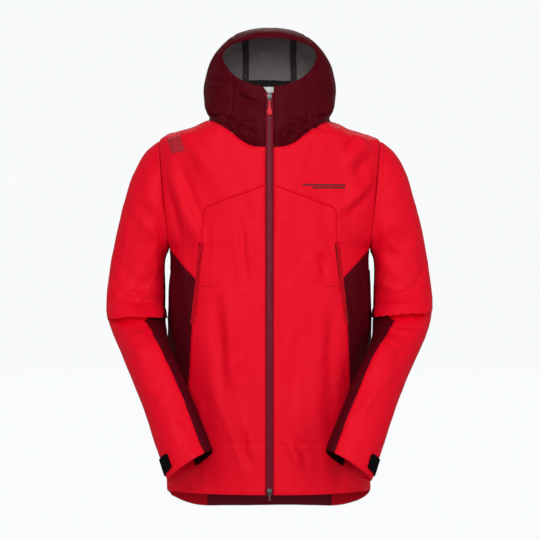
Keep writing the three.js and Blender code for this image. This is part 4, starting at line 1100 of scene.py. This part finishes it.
# outer edge, inner edge, depth middle, half depth, lean, under panel front, back
sleeveStations = [
    ((0, 0), (0, 0), 5, 68, 0, 12, 40), ((29, -25), (7, -16), 5, 66, 0, 12, 44),
    ((51, -66), (9, -38), 5, 63, 0, 12, 48), ((68, -120), (9, -60), 5, 60, 0, 12, 52),
    ((84, -183), (8.5, -82), 5, 58, 0, 12, 54), ((97, -248), (8, -103), 5, 57, 0, 14, 56),
    ((104, -312), (7.5, -123), -3, 57, 2, 30, 56), ((101, -354), (6, -144), -18, 56, 6, 70, 56),
    ((86, -394), (2, -172), -50, 54, 13, 62, 56), ((60, -446), (-8, -198), -92, 52, 20, 55, 54),
    ((24, -525), (-47, -276), -130, 49, 22, 52, 52), ((-1, -595), (-77, -348), -158, 45, 20, 51, 50),
    ((-26, -663), (-93, -386), -178, 41, 17, 50, 50),
]
sleeveEnd = len(sleeveStations) - 1
mm = 0.001


def insideArmhole(p):
    half, front, back = sectionAt(p[:, 2])
    depth = np.where(p[:, 1] < 0, front, back)
    power = bodyCut["roundness"]
    return (p[:,
              2] >= underarmZ) & ((np.abs(p[:, 0]) / half) ** power + (np.abs(p[:, 1]) / depth) ** power < 1)


def ringPoints(n, turn):
    outer, inner, y, depth, lean, _, _ = sleeveStations[n]
    out = np.array([shoulderHalf + outer[0] * mm, y * mm, shoulderZ + outer[1] * mm])
    inn = np.array([chestHalf - 0.0005 + inner[0] * mm, y * mm, underarmZ + inner[1] * mm])
    middle = (out + inn) / 2
    tilt = math.radians(lean)
    deep = np.array([0, math.cos(tilt), -math.sin(tilt)]) * depth * mm
    ray = np.cos(turn)[:, None] * (out - middle) + np.sin(turn)[:, None] * deep
    if n > 0:
        return middle + ray
    near, away = np.zeros(len(turn)), np.full(len(turn), 2.5)
    for _ in range(30):
        reach = (near + away) / 2
        within = insideArmhole(middle + ray * reach[:, None])
        near, away = np.where(within, reach, near), np.where(within, away, reach)
    return middle + ray * near[:, None]


def sleeveSurface(turns, stations):
    # points of a turn by station grid, rows are stations
    rings = [ringPoints(n, turns) for n in range(sleeveEnd + 1)]
    rows = []
    for at in np.clip(stations, 0, sleeveEnd):
        i = min(int(at), sleeveEnd - 1)
        p0, p1, p2, p3 = (rings[min(max(n, 0), sleeveEnd)] for n in (i - 1, i, i + 1, i + 2))
        t = at - i
        a, b = (p2 - p0) / 2, (p3 - p1) / 2
        rows.append(p1 + a * t + (3 * (p2 - p1) - 2 * a - b) * t * t + (2 * (p1 - p2) + a + b) * t ** 3)
    return np.array(rows)


def sleeveGrid(turns, stations, closed):
    shape = sleeveSurface(turns, stations)
    around = sleeveSurface(turns + 0.03, stations) - sleeveSurface(turns - 0.03, stations)
    down = sleeveSurface(turns, stations + 0.05) - sleeveSurface(turns, stations - 0.05)
    normal = np.cross(down, around)
    normal /= np.maximum(np.linalg.norm(normal, axis=2), 1e-12)[..., None]
    way = down / np.maximum(np.linalg.norm(down, axis=2), 1e-12)[..., None]
    travel = np.linalg.norm(np.diff(shape, axis=0), axis=2).mean(1)
    path = np.concatenate([[0], np.cumsum(travel)])
    turnGrid, stationGrid = np.meshgrid(turns, stations)
    _, pathGrid = np.meshgrid(turns, path)
    extra = np.column_stack([normal.reshape(-1, 3), turnGrid.ravel() / (2 * math.pi), -pathGrid.ravel(),
                             turnGrid.ravel(), stationGrid.ravel(), way.reshape(-1, 3)])
    wide, tall = len(turns), len(stations)
    j, i = np.meshgrid(np.arange(tall - 1), np.arange(wide if closed else wide - 1), indexing="ij")
    a, b = j * wide + i, j * wide + (i + 1) % wide
    faces = np.concatenate([np.stack([a, a + wide, b + wide], 2).reshape(-1, 3),
                            np.stack([a, b + wide, b], 2).reshape(-1, 3)])
    return shape.reshape(-1, 3), extra, faces


# Folds of each sleeve, drawn on it unrolled: turn and station of each end.
sleeveFolds = {
    "L": [
        dict(line=[(4.0, 1.0), (4.7, 2.2), (5.4, 3.6)], out=0.0040, wide=0.010),
        dict(line=[(3.6, 1.2), (4.3, 2.8), (4.9, 4.4)], out=-0.0040, wide=0.009),
        dict(line=[(3.4, 3.0), (4.2, 4.6), (4.8, 5.6)], out=0.0034, wide=0.010),
        dict(line=[(5.6, 5.0), (5.0, 5.5), (4.2, 5.4)], out=-0.0034, wide=0.008),
        dict(line=[(3.4, 5.4), (4.2, 5.9), (5.2, 6.2)], out=0.0030, wide=0.008),
        dict(line=[(3.6, 7.4), (4.6, 7.9), (5.6, 8.0)], out=0.0034, wide=0.009),
        dict(line=[(5.9, 8.4), (5.0, 8.9), (4.2, 8.7)], out=-0.0034, wide=0.008),
        dict(line=[(5.4, 9.2), (4.8, 10.0), (4.5, 10.8)], out=0.0026, wide=0.009),
        dict(line=[(0.3, 5.4), (1.2, 6.4), (2.2, 6.8)], out=-0.0036, wide=0.010),
        dict(line=[(0.4, 7.8), (1.3, 7.4), (2.4, 7.6)], out=0.0036, wide=0.012),
        dict(line=[(1.0, 1.6), (1.4, 3.0), (1.3, 4.6)], out=0.0030, wide=0.013),
    ],
    "R": [
        dict(line=[(3.8, 0.8), (4.5, 2.0), (5.2, 3.0)], out=0.0038, wide=0.011),
        dict(line=[(4.4, 1.0), (5.0, 2.4), (5.3, 4.2)], out=-0.0034, wide=0.010),
        dict(line=[(3.4, 2.4), (4.0, 3.8), (4.6, 5.2)], out=-0.0036, wide=0.009),
        dict(line=[(3.5, 4.4), (4.4, 5.4), (5.4, 5.8)], out=0.0036, wide=0.009),
        dict(line=[(5.8, 5.2), (5.1, 5.8), (4.4, 6.0)], out=-0.0030, wide=0.008),
        dict(line=[(3.8, 7.6), (4.6, 8.2), (5.5, 8.1)], out=0.0036, wide=0.010),
        dict(line=[(5.8, 8.8), (5.1, 9.4), (4.4, 9.3)], out=-0.0030, wide=0.009),
        dict(line=[(5.2, 9.8), (4.8, 10.6), (4.9, 11.3)], out=0.0024, wide=0.009),
        dict(line=[(0.4, 5.8), (1.2, 6.2), (2.0, 7.0)], out=-0.0036, wide=0.010),
        dict(line=[(0.5, 7.6), (1.4, 7.8), (2.4, 7.4)], out=0.0034, wide=0.012),
        dict(line=[(1.6, 1.4), (1.2, 3.2), (1.5, 4.8)], out=0.0030, wide=0.013),
    ],
}
sleeveCloth = dict(columns=132, rows=210, soft=0.0018, middle=0.0006, crease=0.0018, around=0.052,
                   along=0.060,
                   shelfOut=0.010, shelfUnder=0.015, shelfLap=0.017)


def sleeveRise(mesh, letter):
    # folds and the deep lap at the elbow; the answer is a move in space
    points, extra, _ = mesh
    turn, station, way = extra[:, 5] % (2 * math.pi), extra[:, 6], extra[:, 7:10]
    scale = np.array([sleeveCloth["around"], sleeveCloth["along"]])
    flat = np.stack([turn, station], 1) * scale
    folds = [dict(f, line=[tuple(np.array(p) * scale) for p in f["line"]]) for f in sleeveFolds[letter]]
    seed = 40 if letter == "L" else 60
    rise = drawnFolds(flat, folds) + sleeveCloth["soft"] * waves(points, 0.13, seed) \
        + sleeveCloth["middle"] * waves(points, 0.045, seed + 1) \
        + sleeveCloth["crease"] * np.clip(1 - np.abs(waves(points, 0.10, seed + 2)), -0.4, 1) ** 3
    rise *= 0.25 + 0.75 * np.sin(turn) ** 2           # taut along the outer and inner edges
    rise *= smoothStep(0.0, 0.55, station)
    ends = smoothStep(0.0, 0.5, sleeveEnd - station)
    rise *= 0.3 + 0.7 * ends
    share = np.clip((turn - math.pi) / math.pi, 0, 1)
    reach = 1.15 if letter == "R" else 0.62
    lineAt = 6.02 + reach * share ** 1.3 + 0.10 * np.sin(share * math.pi)
    above = (lineAt - station) * sleeveCloth["along"]
    fade = smoothStep(0.02, 0.14, share) * (1 - 0.93 * smoothStep(0.66, 1.0, share))
    out = np.where(above > 0, sleeveCloth["shelfOut"] * np.exp(-(above / 0.030) ** 2),
                   -sleeveCloth["shelfUnder"] * np.exp(-(above / 0.034) ** 2))
    lap = np.where(above > 0, sleeveCloth["shelfLap"] * np.exp(-(above / 0.013) ** 2), 0.0)
    return extra[:, :3] * (rise + out * fade)[:, None] + way * (lap * fade)[:, None]


def underField(extra):
    turn, station = extra[:, 5] % (2 * math.pi), extra[:, 6]
    n = np.clip(station.astype(int), 0, sleeveEnd - 1)
    front = np.array([s[5] for s in sleeveStations], float)
    back = np.array([s[6] for s in sleeveStations], float)
    share = station - n
    frontAt = np.radians(front[n] + (front[n + 1] - front[n]) * share)
    backAt = np.radians(back[n] + (back[n + 1] - back[n]) * share)
    return np.minimum(turn - math.pi + backAt, math.pi + frontAt - turn) * sleeveCloth["around"]


def mirrorMesh(mesh):
    points, extra, faces = mesh
    flip = np.ones(extra.shape[1])
    flip[[0, 7]] = -1
    return points * np.array([-1, 1, 1]), extra * flip, faces[:, ::-1]


def sideMesh(mesh, letter):
    return mesh if letter == "L" else mirrorMesh(mesh)


def movedSleeve(mesh, letter, lift=0.0):
    move = sleeveRise(mesh, letter)
    return mesh[0] + move + mesh[1][:, :3] * np.asarray(lift).reshape(-1, 1), mesh[1], mesh[2]


def makeSleeves():
    for letter in ("L", "R"):
        turns = 2 * math.pi * np.arange(sleeveCloth["columns"]) / sleeveCloth["columns"]
        stations = np.linspace(0, sleeveEnd, sleeveCloth["rows"])
        mesh = sleeveGrid(turns, stations, True)
        mesh = splitAlong(mesh, underField(mesh[1]))
        faceTurns = mesh[1][mesh[2]]
        wrapped = faceTurns.copy()
        firstTurn = faceTurns[:, :1, 5]
        wrapped[..., 5] = firstTurn + (faceTurns[..., 5] - firstTurn + math.pi) % (2 * math.pi) - math.pi
        under = underField(wrapped.mean(1)) > 0
        for kind, mask, material in (("sleeve_outer", ~under, "redShell"),
                                     ("sleeve_under", under, "burgundyShell")):
            panel = onlyFaces(mesh, mask)
            rim = edgeDistance(panel)
            panel = sideMesh(movedSleeve(panel, letter, seamDip(rim)), letter)
            name = f"{kind}_{letter}"
            piece = newPiece(name + ".cloth", panel, "jacket",
                             [cloth[material], cloth["redLining"]],
                             [name], rim, (0.345, 1))
            thicken(piece)
    print("sleeves made")


makeSleeves()

cuff = dict(root=0.55, wrap=1.36, low=0.22, high=0.62, lift=0.0028, thickness=0.0014, redFrom=1.35)


def sleevePatch(letter, turnRange, stationRange, columns, rows, lift, closed=False):
    if closed:
        turns = 2 * math.pi * np.arange(columns) / columns
    else:
        turns = np.linspace(turnRange[0], turnRange[1], columns)
    mesh = sleeveGrid(turns, np.linspace(*stationRange, rows), closed)
    return movedSleeve(mesh, letter, lift)


def makeCuffs():
    for letter in ("L", "R"):
        mesh = sleevePatch(letter, None, (sleeveEnd - 0.75, sleeveEnd - 0.01), 96, 14, -0.0026, True)
        around = mesh[1][mesh[2]][:, :, 5].mean(1) % (2 * math.pi)
        mesh = sideMesh(mesh, letter)
        rim = edgeDistance(mesh)
        piece = newPiece(f"cuff_facing_{letter}.cloth", mesh, "jacket",
                         [cloth["cuffInsidePaintedShade"], cloth["redShell"]], [f"cuff_facing_{letter}"], rim, (0.345, 1))
        # near the under panel the cuff's inside gets the painted shade; the rest is the red shell
        paint(piece, np.abs(around - math.pi) > cuff["redFrom"], 1)
        thicken(piece, 0.0008, inner=0)
        ends = (cuff["root"] - cuff["wrap"], cuff["root"])
        stations = (sleeveEnd - cuff["high"], sleeveEnd - cuff["low"])

        def tab(extra, inset=0.0):
            # a strap whose tip is rounded
            turn = (extra[:, 5] + math.pi) % (2 * math.pi) - math.pi
            along = (turn - ends[0]) * sleeveCloth["around"] * 0.86
            across = (extra[:, 6] - (stations[0] + stations[1]) / 2) * 0.072
            half = (stations[1] - stations[0]) / 2 * 0.072 - inset
            tip = np.maximum(0.007 - along, 0)
            return np.minimum(half - np.hypot(np.abs(across), tip * 0.9),
                              (ends[1] - turn) * sleeveCloth["around"] - inset)

        for name, lift, thick, body, inset in (
                (f"cuff_tab_{letter}", cuff["lift"], cuff["thickness"], f"cuff_tab_{letter}", 0.0),
                (f"cuff_patch_{letter}", 0.0009, 0.0005, "jacket", 0.0008)):
            mesh = sleevePatch(letter, (ends[0] - 0.02, ends[1] + 0.02),
                               (stations[0] - 0.04, stations[1] + 0.04), 40, 20, lift)
            mesh = splitAlong(mesh, tab(mesh[1], inset))
            mesh = onlyFaces(mesh, tab(mesh[1][mesh[2]].mean(1), inset) > 0)
            mesh = sideMesh(mesh, letter)
            rim = edgeDistance(mesh)
            piece = newPiece(name + ".cloth", mesh, body, [cloth["blackLoop"]], [name], rim,
                             (0.345, 1))
            thicken(piece, thick)
    print("cuffs made")


makeCuffs()


# hardware

def hardPiece(name, mesh, body, material, replaced, smooth=True):
    data = bpy.data.meshes.new(name)
    mesh.to_mesh(data)
    mesh.free()
    data.materials.append(material)
    if smooth:
        data.shade_smooth()
        data.set_sharp_from_angle(angle=math.radians(38))
    made = bpy.data.objects.new(name, data)
    bpy.context.scene.collection.objects.link(made)
    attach(made, body)
    if replaced:
        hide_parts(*replaced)
    return made


def prism(mesh, outline, low, high, toSpace, bevel=0.0, segments=2):
    # an outline in x and z, thick along y, with rounded edges
    verts = [[mesh.verts.new((x, y, z)) for x, z in outline] for y in (low, high)]
    count = len(outline)
    faces = [mesh.faces.new(verts[0]), mesh.faces.new(verts[1][::-1])]
    for k in range(count):
        a, b = k, (k + 1) % count
        faces.append(mesh.faces.new((verts[0][b], verts[0][a], verts[1][a], verts[1][b])))
    made = verts[0] + verts[1]
    if bevel:
        edges = list({e for f in faces[:2] for e in f.edges})
        done = bmesh.ops.bevel(mesh, geom=edges, offset=bevel, segments=segments, profile=0.6, affect="EDGES",
                               clamp_overlap=True)
        made = list({v for f in done["faces"] for v in f.verts} | {v for v in made if v.is_valid})
    for v in made:
        v.co = toSpace(v.co)
    return made


def block(mesh, x0, x1, y0, y1, z0, z1, toSpace, bevel=0.0, segments=2):
    return prism(mesh, [(x0, z0), (x1, z0), (x1, z1), (x0, z1)], y0, y1, toSpace, bevel, segments)


def tube(mesh, path, radius, toSpace, closed=False, sides=8):
    points = [Vector(p) for p in path]
    count = len(points)
    rings = []
    across = Vector((0, 1, 0))
    for k, p in enumerate(points):
        before = points[(k - 1) % count] if closed or k else p
        after = points[(k + 1) % count] if closed or k < count - 1 else p
        way = (after - before).normalized()
        side = way.cross(across).normalized()
        up = side.cross(way)
        rings.append([mesh.verts.new(toSpace(p + (side * math.cos(a) + up * math.sin(a)) * radius))
                      for a in (2 * math.pi * s / sides for s in range(sides))])
    for k in range(count if closed else count - 1):
        for s in range(sides):
            a, b = rings[k], rings[(k + 1) % count]
            mesh.faces.new((a[s], a[(s + 1) % sides], b[(s + 1) % sides], b[s]))
    if not closed:
        mesh.faces.new(rings[0][::-1])
        mesh.faces.new(rings[-1])


zipOrigin = toFrame((0, -zipDepthLow + 0.0005, hemFrontZ))
zipLean = math.atan(zipSlope)
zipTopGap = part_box("zip_tape_L")[1].z - datumZ
zipTop = (zipTopGap - hemFrontZ) / math.cos(zipLean)
zipCut = dict(tapeHalf=0.0112, tapeThick=0.0008, tapeIn=0.0009, chainIn=0.00028, chainOut=0.0033,
              chainThick=0.0022, pitch=0.0016,
              pin=0.012, stop=0.003)
sliderCut = dict(length=0.010, half=0.0044, plate=0.0016, gap=0.0004, bridgeRise=0.0036)
topSliderZ = zipTop - zipCut["stop"] - sliderCut["length"] - 0.001
lowSliderZ = 0.001


def zipSpace(height=0.0):
    def space(p):
        y, z = p[1], p[2] + height
        return Vector((p[0], zipOrigin[1] + y * math.cos(zipLean) + z * math.sin(zipLean),
                       zipOrigin[2] - y * math.sin(zipLean) + z * math.cos(zipLean)))
    return space


def makeZip():
    plain = zipSpace()
    for side, letter in ((1, "L"), (-1, "R")):
        def space(p):
            return plain((side * p[0], p[1], p[2]))

        tape = bmesh.new()
        rows = 260
        grid = []
        for k in range(rows + 1):
            z = zipTop * k / rows
            grid.append([[tape.verts.new(space((x, zipCut["tapeIn"] + y, z)))
                          for x in np.linspace(0.0020, zipCut["tapeHalf"], 5)]
                         for y in (-zipCut["tapeThick"] / 2, zipCut["tapeThick"] / 2)])
        for low, high in zip(grid[:-1], grid[1:]):
            for face, turnOver in ((0, False), (1, True)):
                for i in range(4):
                    quad = (low[face][i], low[face][i + 1], high[face][i + 1], high[face][i])
                    tape.faces.new(quad[::-1] if turnOver else quad)
            for i in (0, 4):
                quad = (low[0][i], high[0][i], high[1][i], low[1][i])
                tape.faces.new(quad if i == 0 else quad[::-1])
        for row, turnOver in ((grid[0], True), (grid[-1], False)):
            for i in range(4):
                quad = (row[0][i], row[0][i + 1], row[1][i + 1], row[1][i])
                tape.faces.new(quad[::-1] if turnOver else quad)
        bmesh.ops.recalc_face_normals(tape, faces=tape.faces[:])
        uv = tape.loops.layers.uv.new("cloth")
        for face in tape.faces:
            for loop in face.loops:
                loop[uv].uv = (loop.vert.co.x, loop.vert.co.z)
        hardPiece(f"zip_tape_{letter}.tape", tape, "jacket", cloth["zipTape"],
                  [f"zip_tape_{letter}"], False)

        teeth = bmesh.new()
        low, high = zipCut["pin"] + 0.0003, zipTop - zipCut["stop"] - 0.0003
        count = int((high - low) / zipCut["pitch"])
        for k in range(count):
            z = low + (k + (0.25 if side > 0 else 0.75)) * zipCut["pitch"]
            tall, half = 0.00056, zipCut["chainThick"] / 2
            block(teeth, zipCut["chainIn"], 0.0022, -half, half, z - tall, z + tall, space, 0.00022, 1)
            block(teeth, 0.0020, zipCut["chainOut"], -half * 0.72, half * 0.72, z - tall * 0.62,
                  z + tall * 0.62, space)
        bmesh.ops.recalc_face_normals(teeth, faces=teeth.faces[:])
        hardPiece(f"zip_teeth_{letter}.row", teeth, "jacket", hard["zipTeeth"],
                  [f"zip_teeth_{letter}"])

        ends = bmesh.new()
        block(ends, 0.0005, zipCut["chainOut"], -0.0011, 0.0011, 0, zipCut["pin"], space, 0.0003)
        bmesh.ops.recalc_face_normals(ends, faces=ends.faces[:])
        hardPiece(f"zip_pin_{letter}.metal", ends, "jacket", hard["gunmetal"],
                  [f"zip_pin_{letter}"])
        ends = bmesh.new()
        block(ends, 0.0005, zipCut["chainOut"], -0.0015, 0.0015, zipTop - zipCut["stop"], zipTop, space,
              0.0005)
        bmesh.ops.recalc_face_normals(ends, faces=ends.faces[:])
        hardPiece(f"zip_stop_{letter}.metal", ends, "jacket", hard["gunmetal"],
                  [f"zip_stop_{letter}"])


def makeSlider(name, height, bailLength, pullLength, pullHalf, body, pullBody, pullMaterial):
    space = zipSpace(height)
    plateIn = zipCut["chainThick"] / 2 + sliderCut["gap"]
    plateOut = plateIn + sliderCut["plate"]
    half, long = sliderCut["half"], sliderCut["length"]
    outline = [(-half * 0.66, 0), (half * 0.66, 0), (half * 0.78, long * 0.34), (half, long * 0.62),
               (half, long * 0.92),
               (half * 0.72, long), (half * 0.12, long * 0.93), (-half * 0.12, long * 0.93),
               (-half * 0.72, long),
               (-half, long * 0.92), (-half, long * 0.62), (-half * 0.78, long * 0.34)]
    made = bmesh.new()
    prism(made, outline, -plateOut, -plateIn, space, 0.0004)
    prism(made, outline, plateIn, plateOut, space, 0.0004)
    block(made, -0.0002, 0.0002, -plateIn - 0.0002, plateIn + 0.0002, long * 0.55, long * 0.9, space)
    top = -plateOut - sliderCut["bridgeRise"]
    arch = [(0, -plateOut + 0.0004, 0.0018), (0, top + 0.0009, 0.0019), (0, top + 0.0004, 0.0026),
            (0, top + 0.0006, 0.0050),
            (0, top + 0.0004, 0.0074), (0, top + 0.0009, 0.0081), (0, -plateOut + 0.0004, 0.0082)]
    rings = []
    for n, p in enumerate(arch):
        before, after = Vector(arch[max(n - 1, 0)]), Vector(arch[min(n + 1, len(arch) - 1)])
        way = (after - before).normalized()
        side = Vector((1, 0, 0))
        up = side.cross(way)
        rings.append([made.verts.new(space(Vector(p) + side * sx * 0.0009 + up * su * 0.0006))
                      for sx,
                      su in ((-1, -0.6), (-0.6, -1), (0.6, -1), (1, -0.6), (1, 0.6), (0.6, 1), (-0.6, 1),
                             (-1, 0.6))])
    for a, b in zip(rings[:-1], rings[1:]):
        for s in range(8):
            made.faces.new((a[s], a[(s + 1) % 8], b[(s + 1) % 8], b[s]))
    made.faces.new(rings[0][::-1])
    made.faces.new(rings[-1])
    bmesh.ops.recalc_face_normals(made, faces=made.faces[:])
    hardPiece(f"{name}.metal", made, body, hard["gunmetal"], [name])

    bailY = -plateOut - sliderCut["bridgeRise"] / 2 + 0.0005
    swing = zipSpace(height + long / 2)

    def bailSpace(p):
        return swing((p[0], p[1] + bailY, p[2]))

    wire, halfWide = 0.00055, 0.0031 - 0.00055
    ring = []
    corners = [(-halfWide, 0.00005), (-halfWide, -bailLength + wire), (halfWide, -bailLength + wire),
               (halfWide, 0.00005)]
    for n, (cx, cz) in enumerate(corners):
        inX, inZ = -math.copysign(0.0009, cx), (0.0009 if cz < -0.001 else -0.0009)
        steps = [(cx, cz + inZ), (cx + inX * 0.3, cz + inZ * 0.3), (cx + inX, cz)]
        ring += steps if n in (1, 3) else steps[::-1]
    bail = bmesh.new()
    tube(bail, [(x, 0, z) for x, z in ring], wire, bailSpace, True, 8)
    bmesh.ops.recalc_face_normals(bail, faces=bail.faces[:])
    hardPiece(f"{name}_bail.metal", bail, pullBody, hard["gunmetal"], [f"{name}_bail"])

    def pullSpace(p):
        return swing((p[0], p[1] + bailY, p[2] - bailLength))

    neck, drop = 0.0015, []
    for k in range(33):
        s = k / 32
        z = 0.0026 - s * (pullLength + 0.0026)
        wide = neck + (pullHalf - neck) * smoothStep(0.38, 0.80, s)
        if s > 0.80:
            wide *= math.sqrt(max(0.0, 1 - ((s - 0.80) / 0.20) ** 2))
        drop.append((max(wide, 0.0002), z))
    outline = [(-x, z) for x, z in drop] + [(x, z) for x, z in reversed(drop)]
    pull = bmesh.new()
    prism(pull, outline, -0.0014, 0.0014, pullSpace, 0.0005, 2)
    bmesh.ops.recalc_face_normals(pull, faces=pull.faces[:])
    hardPiece(f"{name}_pull.moulded", pull, pullBody, pullMaterial, [f"{name}_pull"])


makeZip()
makeSlider("top_slider", topSliderZ, 0.009, 0.027, 0.005, "top_slider", "top_pull", hard["pullRubber"])
makeSlider("low_slider", lowSliderZ, 0.0086, 0.009, 0.0026, "low_slider", "low_pull", hard["darkRubber"])


def makePocketZips():
    for side, letter in ((1, "L"), (-1, "R")):
        def space(p):
            spot = pocketMiddle + pocketAcross * p[0] + pocketIn * (p[1] + pocketZip["inset"])
            spot = spot + pocketUp * p[2]
            return Vector(toFrame((side * spot[0], spot[1], spot[2])))

        tall, half = pocketZip["length"] / 2, pocketZip["half"]
        strip = bmesh.new()
        for hand in (1, -1):
            x0, x1 = sorted((hand * 0.0006, hand * half))
            block(strip, x0, x1, -0.0004, 0.0004, -tall, tall, space, 0.0002, 1)
            count = int(2 * (tall - 0.005) / 0.0012)
            for k in range(count):
                z = -tall + 0.005 + (k + 0.25 + (0.5 if hand > 0 else 0)) * 0.0012
                x0, x1 = sorted((hand * 0.00025, hand * 0.0019))
                block(strip, x0, x1, -0.0007, -0.0003, z - 0.0004, z + 0.0004, space, 0.00012, 1)
        block(strip, -half, half, -0.0007, 0.0007, tall - 0.005, tall, space, 0.0002, 1)
        block(strip, -half, half, -0.0007, 0.0007, -tall, -tall + 0.005, space, 0.0002, 1)
        bmesh.ops.recalc_face_normals(strip, faces=strip.faces[:])
        hardPiece(f"pocket_zip_{letter}.coil", strip, "jacket", hard["coilZip"],
                  [f"pocket_zip_{letter}"])
        low = tall - 0.006 - 0.008
        runner = bmesh.new()
        shape = [(-0.0018, low), (0.0018, low), (0.0026, low + 0.004), (0.0026, low + 0.0074),
                 (0.0018, low + 0.008),
                 (-0.0018, low + 0.008), (-0.0026, low + 0.0074), (-0.0026, low + 0.004)]
        prism(runner, shape, -0.0023, -0.0011, space, 0.0003)
        prism(runner, shape, 0.0011, 0.0023, space, 0.0003)
        block(runner, -0.0002, 0.0002, -0.0013, 0.0013, low + 0.002, low + 0.007, space)
        tag = [(-0.0010, low + 0.006), (-0.0010, low - 0.004), (-0.0016, low - 0.010), (-0.0016, low - 0.020),
               (-0.0009, low - 0.022), (0.0009, low - 0.022), (0.0016, low - 0.020), (0.0016, low - 0.010),
               (0.0010, low - 0.004), (0.0010, low + 0.006)]
        prism(runner, tag, -0.0031, -0.0021, space, 0.0003)
        bmesh.ops.recalc_face_normals(runner, faces=runner.faces[:])
        hardPiece(f"pocket_slider_{letter}.metal", runner, f"pocket_slider_{letter}",
                  hard["coilZip"],
                  [f"pocket_slider_{letter}"])


makePocketZips()


def makeLoop():
    low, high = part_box("hang_loop")
    half, thick = high.x, high.z
    wide = (high.y - low.y) / 2
    loop = bmesh.new()
    path = []
    for k in range(7):
        path.append((-half + thick / 2, low.z + (0 - low.z - 0.004) * k / 6))
    for k in range(1, 6):
        turn = math.pi / 2 * k / 6
        path.append((-half + thick / 2 + 0.004 * (1 - math.cos(turn)),
                     thick / 2 - 0.004 + 0.004 * math.sin(turn)))
    straight = [(x, thick / 2) for x in np.linspace(-half + thick / 2 + 0.004, 0, 8)]
    path += straight
    path += [(-x, z) for x, z in reversed(path[:-1])]
    rings = []
    for n, (x, z) in enumerate(path):
        before, after = path[max(n - 1, 0)], path[min(n + 1, len(path) - 1)]
        way = Vector((after[0] - before[0], 0, after[1] - before[1])).normalized()
        out = Vector((-way.z, 0, way.x))
        ring = []
        for across, up in ((-1, 0.5), (-0.92, 1), (-0.4, 1), (0.4, 1), (0.92, 1), (1, 0.5), (1, -0.5),
                           (0.92, -1), (-0.92, -1), (-1, -0.5)):
            ring.append(loop.verts.new(Vector((x, 0, z)) + out * up * thick * 0.46 + Vector((0, across * wide,
                                                                                             0))))
        rings.append(ring)
    for a, b in zip(rings[:-1], rings[1:]):
        for s in range(10):
            loop.faces.new((a[s], a[(s + 1) % 10], b[(s + 1) % 10], b[s]))
    loop.faces.new(rings[0][::-1])
    loop.faces.new(rings[-1])
    bmesh.ops.recalc_face_normals(loop, faces=loop.faces[:])
    uv = loop.loops.layers.uv.new("cloth")
    for face in loop.faces:
        for corner in face.loops:
            corner[uv].uv = (corner.vert.co.x + corner.vert.co.z, corner.vert.co.y)
    hardPiece("hang_loop.webbing", loop, "jacket", cloth["loopTape"], ["hang_loop"])


makeLoop()
print("zips, sliders and loop made")
